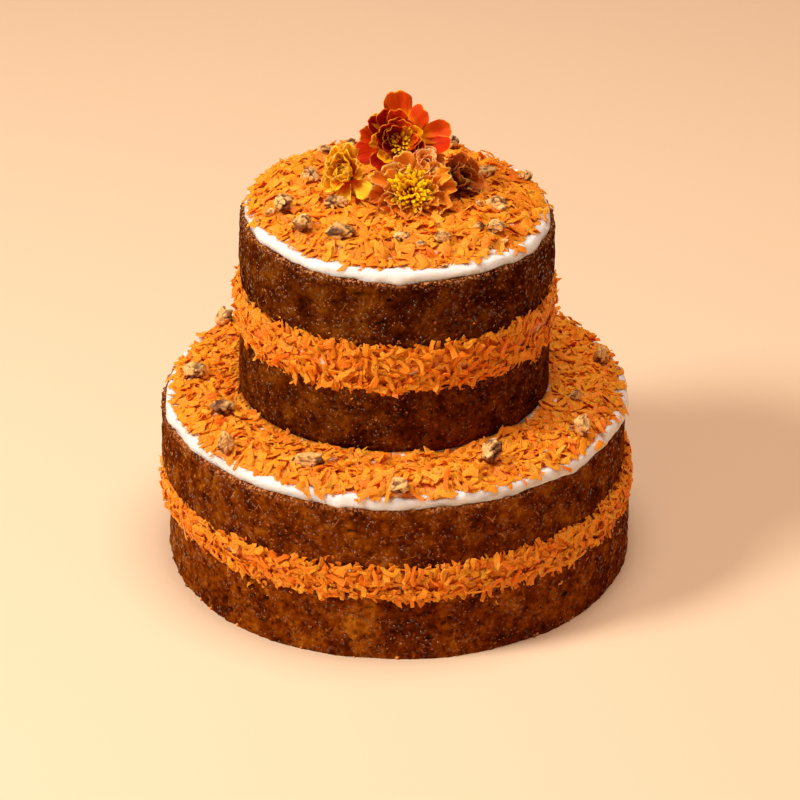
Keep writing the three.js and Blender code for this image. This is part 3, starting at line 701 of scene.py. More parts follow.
def tube_faces(count, rings, corners):
    """Faces of many alike tubes with flat ends, whose points lie ring by ring."""
    starts = np.arange(count)[:, None, None] * rings * corners
    here = np.arange(corners)
    ends = np.stack([here[::-1], (rings - 1) * corners + here])
    sides = ring_quads(rings, corners)
    return [(sides[None] + starts).reshape(-1, 4), (ends[None] + starts).reshape(-1, corners)]


def shred_size(random):
    """The measures of one shred: a thin stick, a broad flake or a strip."""
    kind = random.random()
    if kind < 0.2:
        length, width = random.uniform(4, 8), random.uniform(0.9, 1.5)
    elif kind < 0.65:
        length, width = random.uniform(4, 8.5), random.uniform(2.6, 4.4)
    else:
        length, width = random.uniform(5, 10), random.uniform(1.6, 2.8)
    return shred_form(random, length, width, random.uniform(0.45, 0.7))


def strip_size(random):
    """A strip, which more often stands out at one end."""
    form = shred_form(random, random.uniform(3.5, 9.5), random.uniform(1.4, 3.1), random.uniform(0.5, 0.85))
    form["pitch"] = random.normal(0, 0.16) * form["length"] * (random.random() < 0.6)
    return form


def mixed_size(random):
    """A strip in most cases, and any other shred in the rest."""
    return strip_size(random) if random.random() < 0.85 else shred_size(random)


def crumb_size(random):
    """A short scrap of carrot."""
    length, width = random.uniform(1.3, 3.8), random.uniform(0.7, 1.5)
    return shred_form(random, length, width, random.uniform(0.4, 0.7))


def shred_form(random, length, width, thickness):
    free = random.random() < 0.3
    return {
        "length": length, "width": width, "thickness": thickness,
        "bow": random.normal(0, 0.11) * length, "spring": random.normal(0, 0.13) * length,
        "pitch": random.normal(0, 0.14) * length * (random.random() < 0.4),
        "sink": random.uniform(0.7, 1.6), "taper": random.uniform(0.0, 0.3),
        "swell": random.normal(0, 0.12), "slant": random.normal(0, 0.25) * width,
        "cup": random.uniform(-0.3, 0.6) * min(1, width / 3), "twist": random.normal(0, 0.45),
        "roll": random.normal(0, 0.24),
        "curl": random.uniform(0.4, 2.2) * free * min(1, length / 8), "curl_end": random.choice((-1, 1)),
        "tint": float(random.beta(1.3, 1.4)),
    }


def walnut_footprints(prefix):
    """Each walnut node's name, its centre and its size."""
    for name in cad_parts:
        if name.startswith(prefix):
            low, high = (np.array(corner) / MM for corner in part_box(name))
            yield name, (low + high) / 2, high - low


# Beds: inner and outer radius, centre, height at the rim and extra at the middle, as in the solids, how far
# the rim is set in all round and on the left, and the hollows where the carrot lies thin, as [x, y, radius,
# depth].
BEDS = {
    "lower_carrot_bed": SimpleNamespace(
        inner=75.4, outer=107.5, x=0, y=0, height=2.8, crown=0.3, lean=0, icing="lower_icing",
        nuts="walnut_lower", count=2600, crumbs=150, strays=70, seed=41, set_in=0.2, left_set_in=1.6,
        hollows=[(24, -73, 8, 2.6), (61, -42, 6, 2.6)], size=mixed_size, core_rows=16,
    ),
    "upper_carrot_bed": SimpleNamespace(
        inner=0, outer=68.3, x=-0.3, y=1.3, height=3.2, crown=3.0, lean=LEAN, icing="upper_icing",
        nuts="walnut_upper", count=2200, crumbs=110, strays=40, seed=57, set_in=0.5, left_set_in=1.2,
        hollows=[], size=shred_size, core_rows=32,
    ),
}
BED_GAP = 0.3  # between an icing and the bed on it, as in the solids
CORE_DEPTH = 0.5  # how far the core of a bed lies under the top of its solid
CORE_SUNK, CORE_BOTTOM = 0.4, 0.6  # how deep its rim and its underside lie in the icing
CORE_EDGE, CORE_INSET = 9, 2.5  # width of the slope at its rim, and how far that ends inside the bed's rim
CORE_SEGMENTS = 180
RESTING = 0.6  # how far over a core the lowest shreds rest
SEAT_DEPTH = 1.2  # how far a core rises at least, under a walnut's middle, over the walnut's lowest level
TIER_X = -1.2  # axis of the upper tier
TIER_FOOT = 74.0  # radius that the carrot round it keeps clear of
TIER_BANK, BANK_WIDTH = 2.4, 4  # how much higher it is banked up against the upper tier, and how widely
LOOSE_REACH = 3.5  # how far loose shreds stray past a bed's rim
PAST_ICING = 2.6  # how far past the icing's rim they may lie
RIM_FALL = 1.3  # how steeply the ground under them falls there
NUT_SEAT = 0.5  # how widely a core rises under a walnut, as a share of its size
NUT_CLEAR = 0.26  # how widely shreds keep clear of its middle, as a share of its size
MAP_MARGIN = 14  # of a height map round what it covers


def bump_at(x, y, centre, radius):
    """A round bump of height 1."""
    return np.exp(-((x - centre[0]) ** 2 + (y - centre[1]) ** 2) / radius**2)


def bed_rim(bed, angle):
    """The wandering outer edge of a bed."""
    ring = points_at(np.cos(angle) * bed.outer, np.sin(angle) * bed.outer, 0)
    wander = 2.4 * noise(ring, 17, bed.seed) + 2.4 * noise(ring, 6, bed.seed + 5)
    away = 1.7 - 1.5 * smooth_step(0.2, 0.95, -np.sin(angle)) + 0.6 * smooth_step(0.3, 0.9, np.cos(angle))
    away = away - bed.set_in - bed.left_set_in * smooth_step(0.2, 0.8, -np.cos(angle))
    return bed.outer + away + wander.reshape(np.shape(angle))


def make_bed(node, bed, core_material, shred_material):
    icing = layer(bed.icing, bed.lean)
    icing.radius -= ICING_SET_IN[bed.icing]
    floor = icing.top
    nuts = [(centre, size) for _, centre, size in walnut_footprints(bed.nuts)]

    def core_height(x, y):
        distance, angle = np.hypot(x - bed.x, y - bed.y), np.arctan2(y - bed.y, x - bed.x)
        crown = bed.crown * (1 - np.minimum(1, distance / bed.outer) ** 2)
        top = floor + BED_GAP + bed.height + crown - CORE_DEPTH
        place = points_at(x, y, 0)
        clumps = 1.1 * noise(place, 12, bed.seed) + 0.7 * noise(place, 5, bed.seed + 2)
        clumps = clumps.reshape(np.shape(x))
        if bed.inner:
            beside = np.exp(-(((np.hypot(x - TIER_X, y) - TIER_FOOT) / BANK_WIDTH) ** 2))
            top, clumps = top + TIER_BANK * beside, clumps * (1 - 0.7 * beside)
        top = top + clumps
        for hollow_x, hollow_y, radius, depth in bed.hollows:
            top = top - depth * bump_at(x, y, (hollow_x, hollow_y), radius)
        edge = smooth_step(0, CORE_EDGE, bed_rim(bed, angle) - CORE_INSET - distance)
        top = floor - CORE_SUNK + (top - floor + CORE_SUNK) * edge
        for centre, size in nuts:
            seat = centre[2] - size[2] / 2 + bed.lean * centre[0] + SEAT_DEPTH
            top = top + np.maximum(0, seat - top) * bump_at(x, y, centre, size[0] * NUT_SEAT)
        return top

    def base(x, y):
        distance = np.hypot(x - icing.x, y)
        slope = np.maximum(0, distance - icing.radius + 1) * RIM_FALL
        height = np.maximum(core_height(x, y) + RESTING, floor) - slope
        height = np.where(distance > icing.radius + PAST_ICING, BLOCKED, height)
        inside = np.hypot(x - TIER_X, y) < (TIER_FOOT if bed.inner else 0)
        return np.where(inside, BLOCKED, height)

    def spot(random, reach=0.0):
        share = random.random()
        distance = math.sqrt(bed.inner**2 + share * ((bed.outer + reach) ** 2 - bed.inner**2))
        angle = random.uniform(-math.pi, math.pi)
        past = reach - 1 + random.normal(0, 1.0)
        return place_at(random, angle, min(distance, bed_rim(bed, angle) + past))

    def rim_spot(random):
        angle = random.uniform(-math.pi, math.pi)
        return place_at(random, angle, bed_rim(bed, angle) + random.uniform(-3.0, 3.0))

    def place_at(random, angle, distance):
        x, y = bed.x + distance * math.cos(angle), bed.y + distance * math.sin(angle)
        return x, y, random.uniform(0, math.pi)

    def embed(s, t, height):
        return points_at(s, t, height - bed.lean * s)

    reach = bed.outer + MAP_MARGIN
    pile = Pile((-reach, reach), (-reach, reach), base, bed.seed)
    for centre, size in nuts:
        pile.block(centre[0], centre[1], size[0] * NUT_CLEAR, size[1] * NUT_CLEAR)
    pile.lay(bed.count, spot, bed.size, goal=core_height)
    pile.lay(bed.strays, rim_spot, bed.size, choices=1)
    pile.lay(bed.crumbs, lambda random: spot(random, LOOSE_REACH), crumb_size, choices=1)
    pile.make(node, embed, shred_material)
    make_bed_core(node, bed, core_height, floor - CORE_BOTTOM, core_material)
    return pile


def make_bed_core(node, bed, core_height, bottom, material):
    """What lies packed under a bed's shreds, from its middle or the upper tier's foot to its rim."""
    rows, sides = bed.core_rows, CORE_SEGMENTS
    share = np.repeat(np.linspace(0, 1, rows), sides)
    angle = np.tile(ring_angles(sides), rows)
    inner = TIER_FOOT + TIER_X * np.cos(angle) if bed.inner else 0.5
    radius = inner + (bed.outer - inner) * share
    x, y = bed.x + radius * np.cos(angle), bed.y + radius * np.sin(angle)
    upper = points_at(x, y, core_height(x, y) - bed.lean * x)
    lower = points_at(x, y, bottom - bed.lean * x)
    here, after = ring_pairs(sides)
    count = len(upper)
    outer = count - sides
    top = ring_quads(rows, sides)[:, [0, 3, 2, 1]]
    faces = [
        top, top[:, ::-1] + count,
        np.stack([after, count + after, count + here, here], 1),
        np.stack([count + outer + here, count + outer + after, outer + after, outer + here], 1),
    ]
    make_piece("core_" + node, np.vstack([upper, lower]), faces, material, "cream")


# Fillings: radius and limit of the shreds' reach, the sponges under and over it, and where it is centred.
FILLINGS = {
    "lower_filling": SimpleNamespace(
        radius=111.5, under="lower_sponge_base", over="lower_sponge_top", x=0, count=2300, crumbs=150,
        limit=115.8, seed=73,
    ),
    "upper_filling": SimpleNamespace(
        radius=74, under="upper_sponge_base", over="upper_sponge_top", x=-0.6, count=1800, crumbs=110,
        limit=79.8, seed=89,
    ),
}
FILLING_BULGE = 0.4  # how far the cream stands out past the sponges at mid-height
FILLING_ROWS, FILLING_PITCH = 18, 1.7  # of the cream's wall
LIMIT_EASE = 1.5  # shreds that stand out this close to the limit are pressed in
BOX_MARGIN = 0.1
SMEAR = 3.2  # how far cream has run over the sponges beside a filling
SPLASH = 12  # how far above and below a filling its crumbs lie


def box_reach(x, angle):
    """How far the walls of the whole cake's box stand from an upright axis at x, at an angle round it."""
    low, high = np.array(CAD_BOX) / MM
    cos, sin = np.cos(angle), np.sin(angle)
    across = np.where(cos > 0, high[0] - x, x - low[0]) / np.maximum(np.abs(cos), 1e-6)
    deep = np.where(sin > 0, high[1], -low[1]) / np.maximum(np.abs(sin), 1e-6)
    return np.minimum(across, deep) - BOX_MARGIN


def make_filling(node, filling, core_material, shred_material):
    under, over = layer(filling.under), layer(filling.over)
    bottom, top = under.top, over.bottom
    radius = filling.radius
    middle = (bottom + top) / 2
    levels = [bottom - SPLASH, bottom - SHOULDER, bottom, middle, top, top + SHOULDER, top + SPLASH]
    reaches = [radius, radius - 0.4, radius - 3.0, radius + FILLING_BULGE, radius - 2.4, radius, radius]

    def base(s, z):
        angle = s / radius
        shift = np.interp(z, [bottom, top], [under.x - filling.x, over.x - filling.x]) * np.cos(angle)
        bumps = (0.7 * noise(points_at(s, z, 0), 9, filling.seed)).reshape(np.shape(s))
        inside = smooth_step(bottom - 1, bottom + 2, z) * smooth_step(top + 1, top - 2, z)
        return np.interp(z, levels, reaches) + shift + (bumps + RESTING) * inside

    def spot(random):
        s, t = random.uniform(-around, around), random.uniform(bottom - 0.6, top + 1.2)
        return s, t, random.uniform(0, math.pi)

    def stray(random):
        above = random.random() < 0.35
        distance = abs(random.normal(0, 5)) + 1
        t = top + distance if above else bottom - distance
        s, t = random.uniform(-around, around), float(np.clip(t, bottom - SPLASH, top + SPLASH))
        return s, t, random.uniform(0, math.pi)

    def embed(s, t, height):
        angle = s / radius
        limit = np.minimum(filling.limit, box_reach(filling.x, angle)) - LIMIT_EASE
        reach = np.minimum(height, limit) + LIMIT_EASE * np.tanh(np.maximum(height - limit, 0) / LIMIT_EASE)
        return points_at(filling.x + reach * np.cos(angle), reach * np.sin(angle), t)

    around = math.pi * radius
    pile = Pile((-around, around), (bottom - MAP_MARGIN, top + MAP_MARGIN), base, filling.seed, wraps=True)
    pile.lay(filling.count, spot, strip_size)
    pile.lay(filling.crumbs, stray, crumb_size, choices=1)
    pile.make(node, embed, shred_material)
    make_filling_core(node, filling, base, bottom, top, core_material)


def make_filling_core(node, filling, base, bottom, top, material):
    """The cream of a filling, smeared here and there over the sponges beside it."""
    levels = np.linspace(bottom - SMEAR, top + SMEAR, FILLING_ROWS)
    profile = [(0, levels[0]), *((filling.radius, z) for z in levels), (0, levels[-1])]
    points, faces = lathe(profile, int(2 * math.pi * filling.radius / FILLING_PITCH))
    walls = points[:-2]
    angle = np.arctan2(walls[:, 1], walls[:, 0])
    reach = base(angle * filling.radius, walls[:, 2]) - RESTING
    past = np.maximum(bottom - walls[:, 2], walls[:, 2] - top)
    streaks = noise(walls * [1, 1, 0.6], 7, filling.seed + 4) + 0.5 * noise(walls, 2.5, filling.seed)
    smear = 1.3 * smooth_step(0.25, 0.75, streaks - 0.12 * past) - 0.9
    reach += np.where(past > 0, smear, 0) - 2.5 * smooth_step(SMEAR - 0.8, SMEAR, past)
    walls[:, 0], walls[:, 1] = reach * np.cos(angle), reach * np.sin(angle)
    points[:, 0] += filling.x
    make_piece("core_" + node, points, faces, material, "cream")


# ---- Walnuts ----
def unit_sphere(divisions):
    """Points and triangles of a ball of alike triangles."""
    ball = bmesh.new()
    bmesh.ops.create_icosphere(ball, subdivisions=divisions, radius=1)
    points = np.array([vertex.co for vertex in ball.verts])
    faces = np.array([[vertex.index for vertex in face.verts] for face in ball.faces])
    ball.free()
    return points, faces


def make_walnut(node, centre, size, ball, material, seed):
    """A chopped kernel: knobs and deep folds, with flat paler faces where it broke."""
    random = np.random.default_rng(seed)
    points, faces = ball
    shift = random.uniform(0, 60, 3)
    knobs = noise(points + shift, 0.85, seed) + 0.40 * noise(points + shift, 0.38, seed + 2)
    fold = np.abs(noise(points + shift * 2, 0.62, seed + 3))
    # Where the folds lie deepest, for painted shade in them.
    fold_shade = smooth_step(0.16, 0.02, fold)
    grit = 0.10 * noise(points + shift, 0.17, seed + 5)
    shape = points * (1 + 0.34 * knobs + grit - 0.26 * smooth_step(0.22, 0.0, fold))[:, None]
    pale = smooth_step(-0.05, 0.35, noise(points + shift, 0.9, seed + 7) + 0.1 * points[:, 2])
    for _ in range(random.integers(3, 6)):
        facing = random.normal(0, 1, 3)
        facing[2] = abs(facing[2]) * 0.8
        facing /= np.linalg.norm(facing)
        over = shape @ facing - random.uniform(0.50, 0.85)
        rough = 0.07 * noise(shape + shift, 0.2, seed + 8)
        shape -= np.maximum(over, 0)[:, None] * facing * 0.9
        shape += (np.clip(over * 8, 0, 1) * rough)[:, None] * facing
        pale = np.maximum(pale, smooth_step(0.0, 0.09, over))
    low, high = shape.min(axis=0), shape.max(axis=0)
    shape = (shape - (low + high) / 2) / (high - low) * size + centre
    make_piece("kernel_" + node, shape, [faces], material, "walnut", [node], {"cut": pale, "fold_shade": fold_shade})


# Bits of kernel on the upper bed, too small to be solids of their own: x, y and size.
NUT_BITS = [
    (11.0, -51.9, (4.6, 4.0, 3.2)), (37.7, -36.1, (5.4, 4.2, 3.4)), (38.1, -15.2, (3.8, 3.6, 3.2)),
    (48.5, -16.5, (4.2, 3.4, 3.0)), (-57.8, -21.1, (4.6, 4.2, 4.2)), (22.0, -63.5, (2.6, 2.0, 1.8)),
    (49.5, -42.0, (3.0, 1.8, 2.0)), (-12.0, 56.0, (4.0, 3.2, 3.0)),
]


def make_nut_bits(pile, lean, ball, material):
    """Small scraps of kernel, each lying on the carrot under it."""
    across = np.linspace(-0.3, 0.3, 5)
    points, faces, values = [], [], []
    for index, (x, y, size) in enumerate(NUT_BITS):
        under = pile.cells(x + across[:, None] * size[0], y + across * size[1])
        level = np.median(pile.map[under]) - lean * x
        place = ball[0] + index * 7
        relief = 0.36 * noise(place, 0.75, index) + 0.22 * noise(place, 0.34, index + 20)
        points.append(ball[0] * (1 + relief)[:, None] * size / 2 + [x, y, level + size[2] * 0.2])
        faces.append(ball[1] + index * len(ball[0]))
        values.append(smooth_step(-0.4, 0.4, noise(ball[0] + index * 5, 0.8, index + 40) + 0.2))
    cut = np.concatenate(values)
    make_piece("nut_bits", np.vstack(points), faces, material, "walnut", (), {"cut": cut, "fold_shade": 0 * cut})


# ---- Marigolds ----
# A petal grows out at an angle and rises at its lift, both in degrees. Along its length it bends forward by
# bend, in radians, and its sides stand forward of its middle by cup times half its width. Its look is a key
# of PETAL_COLOURS, or None for its flower's own.
Petal = namedtuple("Petal", "angle length width lift bend cup look", defaults=[None])
PLAIN_RISE = 0.9  # how far before its heart a flower's inner petals are rooted
PLAIN_FLOWER = {
    "ruffle": 0.8, "rise": PLAIN_RISE, "centre": (0, 0), "florets": 0, "gap": (0, 0), "inner": [],
    "whorls": [],
}


def marigold(**measures):
    """A flower's measures, with a plain one's where none are given."""
    return SimpleNamespace(**{**PLAIN_FLOWER, **measures})


# Heart, facing, heart radius and outer petals are as in the solids. Facing is in degrees, round from +X and
# above the horizon. Inner petals follow one by one, or in whorls as [count, length, width, lift, bend, cup,
# look].
FLOWERS = {
    "orange": marigold(
        heart=(8, -14, 194.5), facing=(-88, 38), heart_radius=6, florets=150, floret=(4.8, 2.2),
        dome=(8.4, 7.6), dome_look="crimson", centre=(-1.5, -1.6), foot=(8, -8, 185), ruffle=1.0,
        gap=(35, 95),
        outer=[
            (3, 19, 9, 8, 0.5, 0.5), (22, 19, 9, 16, 0.8, 0.6), (42, 16, 8, 8, 0.3, 0.5),
            (76, 13, 10, 22, -0.2, 0.3), (110, 17, 11, 16, 0.1, 0.2), (143, 16, 9, 8, 0.4, 0.5),
            (165, 21, 8, 14, 0.1, 0.9), (187, 20, 8, 4, 0.2, 0.8), (207, 17, 9, 12, 0.3, 0.5),
            (234, 15, 10, 4, 0.5, 0.6), (262, 15, 10, 10, 0.4, 0.7), (300, 16, 10, 2, 0.5, 0.7),
            (332, 18, 9, 10, 0.3, 0.4), (55, 10, 7, 30, 0.2, 0.6), (125, 11, 7, 36, 0.3, 0.6),
            (200, 10, 7, 32, 0.4, 0.7), (340, 10, 7, 32, 0.6, 0.6, "amber"),
        ],
        whorls=[
            (11, 15.5, 7, 10, 0.4, 0.9), (13, 13.5, 6.5, 17, 0.3, 0.7), (10, 12, 6, 22, 0.2, 0.6),
            (5, 11.5, 5.5, 27, 0.1, 0.7, "amber"),
        ],
    ),
    "red": marigold(
        heart=(2, 6, 210), facing=(-92, 34), heart_radius=5, florets=75, floret=(3.2, 1.3), dome=(5.4, 5.0),
        dome_look="crimson", centre=(0, -1.0), foot=(2, 9, 186), ruffle=0.45,
        outer=[
            (95, 22.8, 13.5, 18, 0.2, 0.25, "flame"), (52, 19, 11, 22, 0.1, -0.1, "flame"),
            (15, 23, 11, 12, 0.3, 0.35, "flame"), (-8, 25, 10, 4, 0.4, 0.4), (-32, 20, 11, 12, 0.3, 0.5),
            (126, 18, 9, 24, 0.4, 0.3, "crimson"), (150, 19, 9, 14, 0.4, 0.4, "crimson"),
            (173, 20, 9, 20, 0.3, 0.2, "flame"), (199, 21, 12, 6, 0.3, 0.3), (231, 18, 12, 12, 0.3, 0.3),
            (268, 16, 12, 4, 0.3, 0.4), (300, 18, 12, 10, 0.4, 0.5, "crimson"), (105, 13, 9, 46, 0.3, 0.4),
            (160, 12, 9, 44, 0.5, 0.5, "crimson"), (60, 11, 6, 48, 0.2, 0.1, "flame"),
        ],
        inner=[
            (138, 18, 6, 12, 0.2, 0.2, "sun"), (176, 14, 8, 22, 0.2, 0.2, "sun"), (98, 17, 10, 30, 0.3, 0.3),
            (122, 13, 9, 38, 0.7, 0.5, "crimson"), (143, 14, 9, 32, 0.5, 0.4, "crimson"),
            (168, 14, 9, 30, 0.5, 0.4, "crimson"), (186, 12, 8, 34, 0.5, 0.5, "crimson"),
            (130, 10, 8, 46, 0.6, 0.6, "crimson"), (155, 10, 8, 42, 0.6, 0.6, "crimson"),
            (205, 11, 7, 36, 0.5, 0.6, "crimson"), (225, 13, 8, 24, 0.3, 0.3, "sun"),
            (246, 12, 8, 22, 0.3, 0.4, "sun"), (262, 10, 7, 32, 0.3, 0.5, "crimson"),
            (282, 12, 8, 26, 0.3, 0.4), (78, 12, 8, 36, 0.2, 0.2, "flame"), (34, 12, 7, 30, 0.2, 0.3, "sun"),
            (12, 10, 6, 34, 0.3, 0.5, "flame"), (-22, 15, 9, 26, 0.5, 0.5, "crimson"),
            (-44, 14, 10, 24, 0.6, 0.5), (-60, 13, 9, 30, 0.6, 0.6, "crimson"),
            (-8, 12, 8, 38, 0.5, 0.5), (62, 9, 6, 42, 0.3, 0.4, "sun"),
        ],
    ),
    "gold": marigold(
        heart=(-23, -5, 199), facing=(-112, 32), heart_radius=4.5, dome=(3.4, 4.2), dome_look="gold",
        foot=(-8, -4, 187),
        outer=[
            (88, 15, 11, 22, 0.9, 0.7), (130, 13, 10, 12, 1.1, 0.7), (40, 11, 8, 30, 0.6, 0.6),
            (-32, 15, 9, 4, 0.2, 0.1), (-78, 15, 7, 10, 0.3, 0.6), (222, 13, 8, 6, 0.9, 0.8),
            (178, 9, 8, 26, 0.8, 0.7), (5, 8, 6, 40, -0.6, 0.5),
        ],
        inner=[
            (100, 13, 10, 36, 0.9, 0.6), (70, 12, 9, 44, 0.7, 0.6), (150, 11, 9, 36, 1.0, 0.7),
            (200, 10, 8, 34, 0.9, 0.7), (238, 12, 8, 24, 0.8, 0.7), (258, 11, 7, 30, 0.7, 0.8),
            (20, 9, 8, 52, 0.8, 0.6), (-50, 9, 7, 40, 0.7, 0.7),
        ],
        whorls=[(7, 9, 8, 58, 0.9, 0.6), (5, 7, 7, 74, 0.8, 0.6)],
    ),
    # Its petals take the rust colours, which hold painted shade.
    "rust": marigold(
        heart=(28, 2, 192), facing=(-50, 36), heart_radius=4, dome=(3.0, 2.2), dome_look="rust",
        foot=(26, 9, 185),
        outer=[
            (20, 12, 9, 14, 0.4, 0.4), (70, 12, 9, 22, 0.3, 0.3), (120, 11, 9, 14, 0.5, 0.5),
            (170, 10, 8, 10, 0.5, 0.5), (225, 10, 8, 4, 0.4, 0.6), (-85, 12, 9, 8, 0.4, 0.6),
            (-30, 12, 9, 16, 0.5, 0.5),
        ],
        whorls=[(8, 9.5, 7, 38, 0.6, 0.6), (6, 7.5, 6, 56, 0.6, 0.6)],
    ),
    "peach": marigold(
        heart=(14, -5, 202.5), facing=(-80, 42), heart_radius=2.4, dome=(2.6, 6.0), dome_look="peach",
        centre=(-0.8, 0.8), foot=(19, 4, 187), ruffle=0.35, rise=3.0,
        outer=[
            (20, 8, 7, 16, 0.3, 0.3), (80, 8.5, 7.5, 18, 0.3, 0.3), (135, 8.5, 7.5, 14, 0.3, 0.3),
            (195, 8, 7, 10, 0.3, 0.4), (310, 7.5, 7, 8, 0.3, 0.4),
        ],
        inner=[
            (50, 7, 6.5, 38, 0.5, 0.4), (120, 7, 6.5, 36, 0.5, 0.4), (185, 6.5, 6, 34, 0.5, 0.5),
            (260, 6, 6, 30, 0.6, 0.5), (330, 6, 6, 34, 0.5, 0.5),
        ],
        whorls=[(4, 5.5, 5.5, 62, 1.0, 0.6)],
    ),
}
PETAL_ROWS, PETAL_COLUMNS = 15, 13
PETAL_THICKNESS = 0.35
FLORET_BUILD = 0.2  # thickness of a floret, as a share of its width
DOME_SHARE = [0.85, 0.85, 0.5]  # the core of a flower's middle, as shares of the dome of its florets
STEM_ROWS, STEM_SIDES, STEM_RIBS = 14, 40, 10
STEM_START = 0.5  # how far before a heart its cup starts
# Places along a cup and its stalk, and its radius there as a share of the heart's.
STEM_THICKNESS = ([0, 0.12, 0.42, 0.58, 1], [0.86, 0.9, 0.62, 0.40, 0.36])
CUP_DEPTH = 9.0  # how far behind a heart its stalk starts to bend down


def flower_axes(flower):
    """Rows: the flower's right, its top and the way it faces."""
    around, above = np.radians(flower.facing)
    out = math.cos(above)
    facing = np.array([out * math.cos(around), out * math.sin(around), math.sin(above)])
    level = np.array([-facing[1], facing[0], 0]) / math.hypot(facing[0], facing[1])
    return np.stack([level, np.cross(facing, level), facing])


def sheet_faces(rows, columns):
    """Quads of a closed thin sheet: its upper grid of points, then its lower one."""
    i, j = (grid.ravel() for grid in np.meshgrid(np.arange(rows - 1), np.arange(columns - 1), indexing="ij"))
    a, b, c, d = i * columns + j, (i + 1) * columns + j, (i + 1) * columns + j + 1, i * columns + j + 1
    lower = rows * columns
    last_row, last_column = (rows - 1) * columns, columns - 1
    loop = np.concatenate([
        np.arange(0, last_row, columns), last_row + np.arange(last_column),
        np.arange(last_row, 0, -columns) + last_column, np.arange(last_column, 0, -1),
    ])
    after = np.roll(loop, -1)
    return np.vstack([
        np.stack([a, b, c, d], 1), np.stack([d, c, b, a], 1) + lower,
        np.stack([loop, loop + lower, after + lower, after], 1),
    ])


def turned(ahead, side, angle):
    """Two measures in a flower's plane, turned round its axis."""
    cos, sin = math.cos(angle), math.sin(angle)
    return cos * ahead - sin * side, sin * ahead + cos * side


def petal_points(random, petal, root, ruffle):
    """One petal in its flower's axes: upper and lower grid, and each point's place along and across it."""
    u, v = np.meshgrid(np.linspace(0, 1, PETAL_ROWS), np.linspace(0, 1, PETAL_COLUMNS), indexing="ij")
    across = 2 * v - 1
    lift = math.radians(petal.lift)
    phase = random.uniform(0, 2 * math.pi, 3)

    # Its course from root to tip, whose end is rounded and lobed.
    lobes = 0.5 + 0.5 * np.cos(random.uniform(1.6, 2.8) * math.pi * across + phase[0])
    rounding = 1 - np.sqrt(1 - 0.95 * np.abs(across) ** 2.4)
    reach = petal.length * (u - u**4 * (0.24 * rounding + random.uniform(0.02, 0.10) * ruffle * lobes))
    bend = petal.bend + random.normal(0, 0.2) + 1e-3
    course = lift + bend * reach / petal.length
    along = root + petal.length / bend * (np.sin(course) - math.sin(lift))
    rise = petal.length / bend * (math.cos(lift) - np.cos(course))

    # How far each point stands forward of that course: cup, frilled rim, crease, ridges and roll.
    half = petal.width / 2 * (0.26 + 0.74 * np.sin(math.pi / 2 * np.minimum(1, u / 0.8)))
    rim = np.maximum(np.abs(across) ** 2 * smooth_step(0.1, 0.6, u), u**4)
    round_rim = across * (1 + 1.3 * (1 - u))
    frill = random.uniform(0.06, 0.15) * np.sin(random.uniform(4, 7) * round_rim + phase[1])
    frill = (frill + 0.04 * np.sin(random.uniform(8, 12) * round_rim + phase[2])) * ruffle * petal.width
    crease = random.uniform(0.2, 1.3) * np.exp(-((across / 0.18) ** 2)) * np.sin(math.pi * u)
    ridges = 0.16 * np.cos(random.uniform(9, 12) * across) * np.sin(math.pi * u)
    roll = random.normal(0, 0.22) * petal.width * across * u
    forward = petal.cup * half * across**2 * (0.3 + 0.7 * u) + frill * rim - crease + ridges + roll
    side = across * half * (1 - 0.18 * petal.cup**2 * across**2)

    layers = []
    for face in (0.5, -0.5):
        out = forward + face * PETAL_THICKNESS * (1 - 0.45 * u)
        ahead, up = along - np.sin(course) * out, rise + np.cos(course) * out
        layers.append(points_at(*turned(ahead, side, math.radians(petal.angle)), up))
    return np.concatenate(layers), np.tile(u.ravel(), 2), np.tile(across.ravel(), 2)


def flower_petals(flower, random):
    """Each petal of a flower with its root's distance from the axis and its root's place."""
    middle = np.array([*flower.centre, flower.rise])
    for row in flower.outer:
        petal = Petal(*row)
        base = np.array([0, 0, (flower.rise - PLAIN_RISE) * 0.6])
        yield petal._replace(length=petal.length * 0.96), flower.heart_radius * 0.5, base
    for row in flower.inner:
        yield Petal(*row), flower.heart_radius * 0.38, middle
    for number, (count, *form) in enumerate(flower.whorls):
        start = random.uniform(0, 360)
        for index in range(count):
            petal = Petal(start + 360 * (index + random.uniform(-0.4, 0.4)) / count, *form)
            petal = petal._replace(
                length=petal.length * random.uniform(0.75, 1.15),
                width=petal.width * random.uniform(0.7, 1.2),
                lift=petal.lift + random.normal(0, 9), bend=petal.bend + random.normal(0, 0.35),
                cup=petal.cup * random.uniform(0.2, 1.4),
            )
            if flower.gap[0] < petal.angle % 360 < flower.gap[1]:
                petal = petal._replace(length=petal.length * 0.7)
            yield petal, flower.heart_radius * (0.42 - 0.10 * number), middle


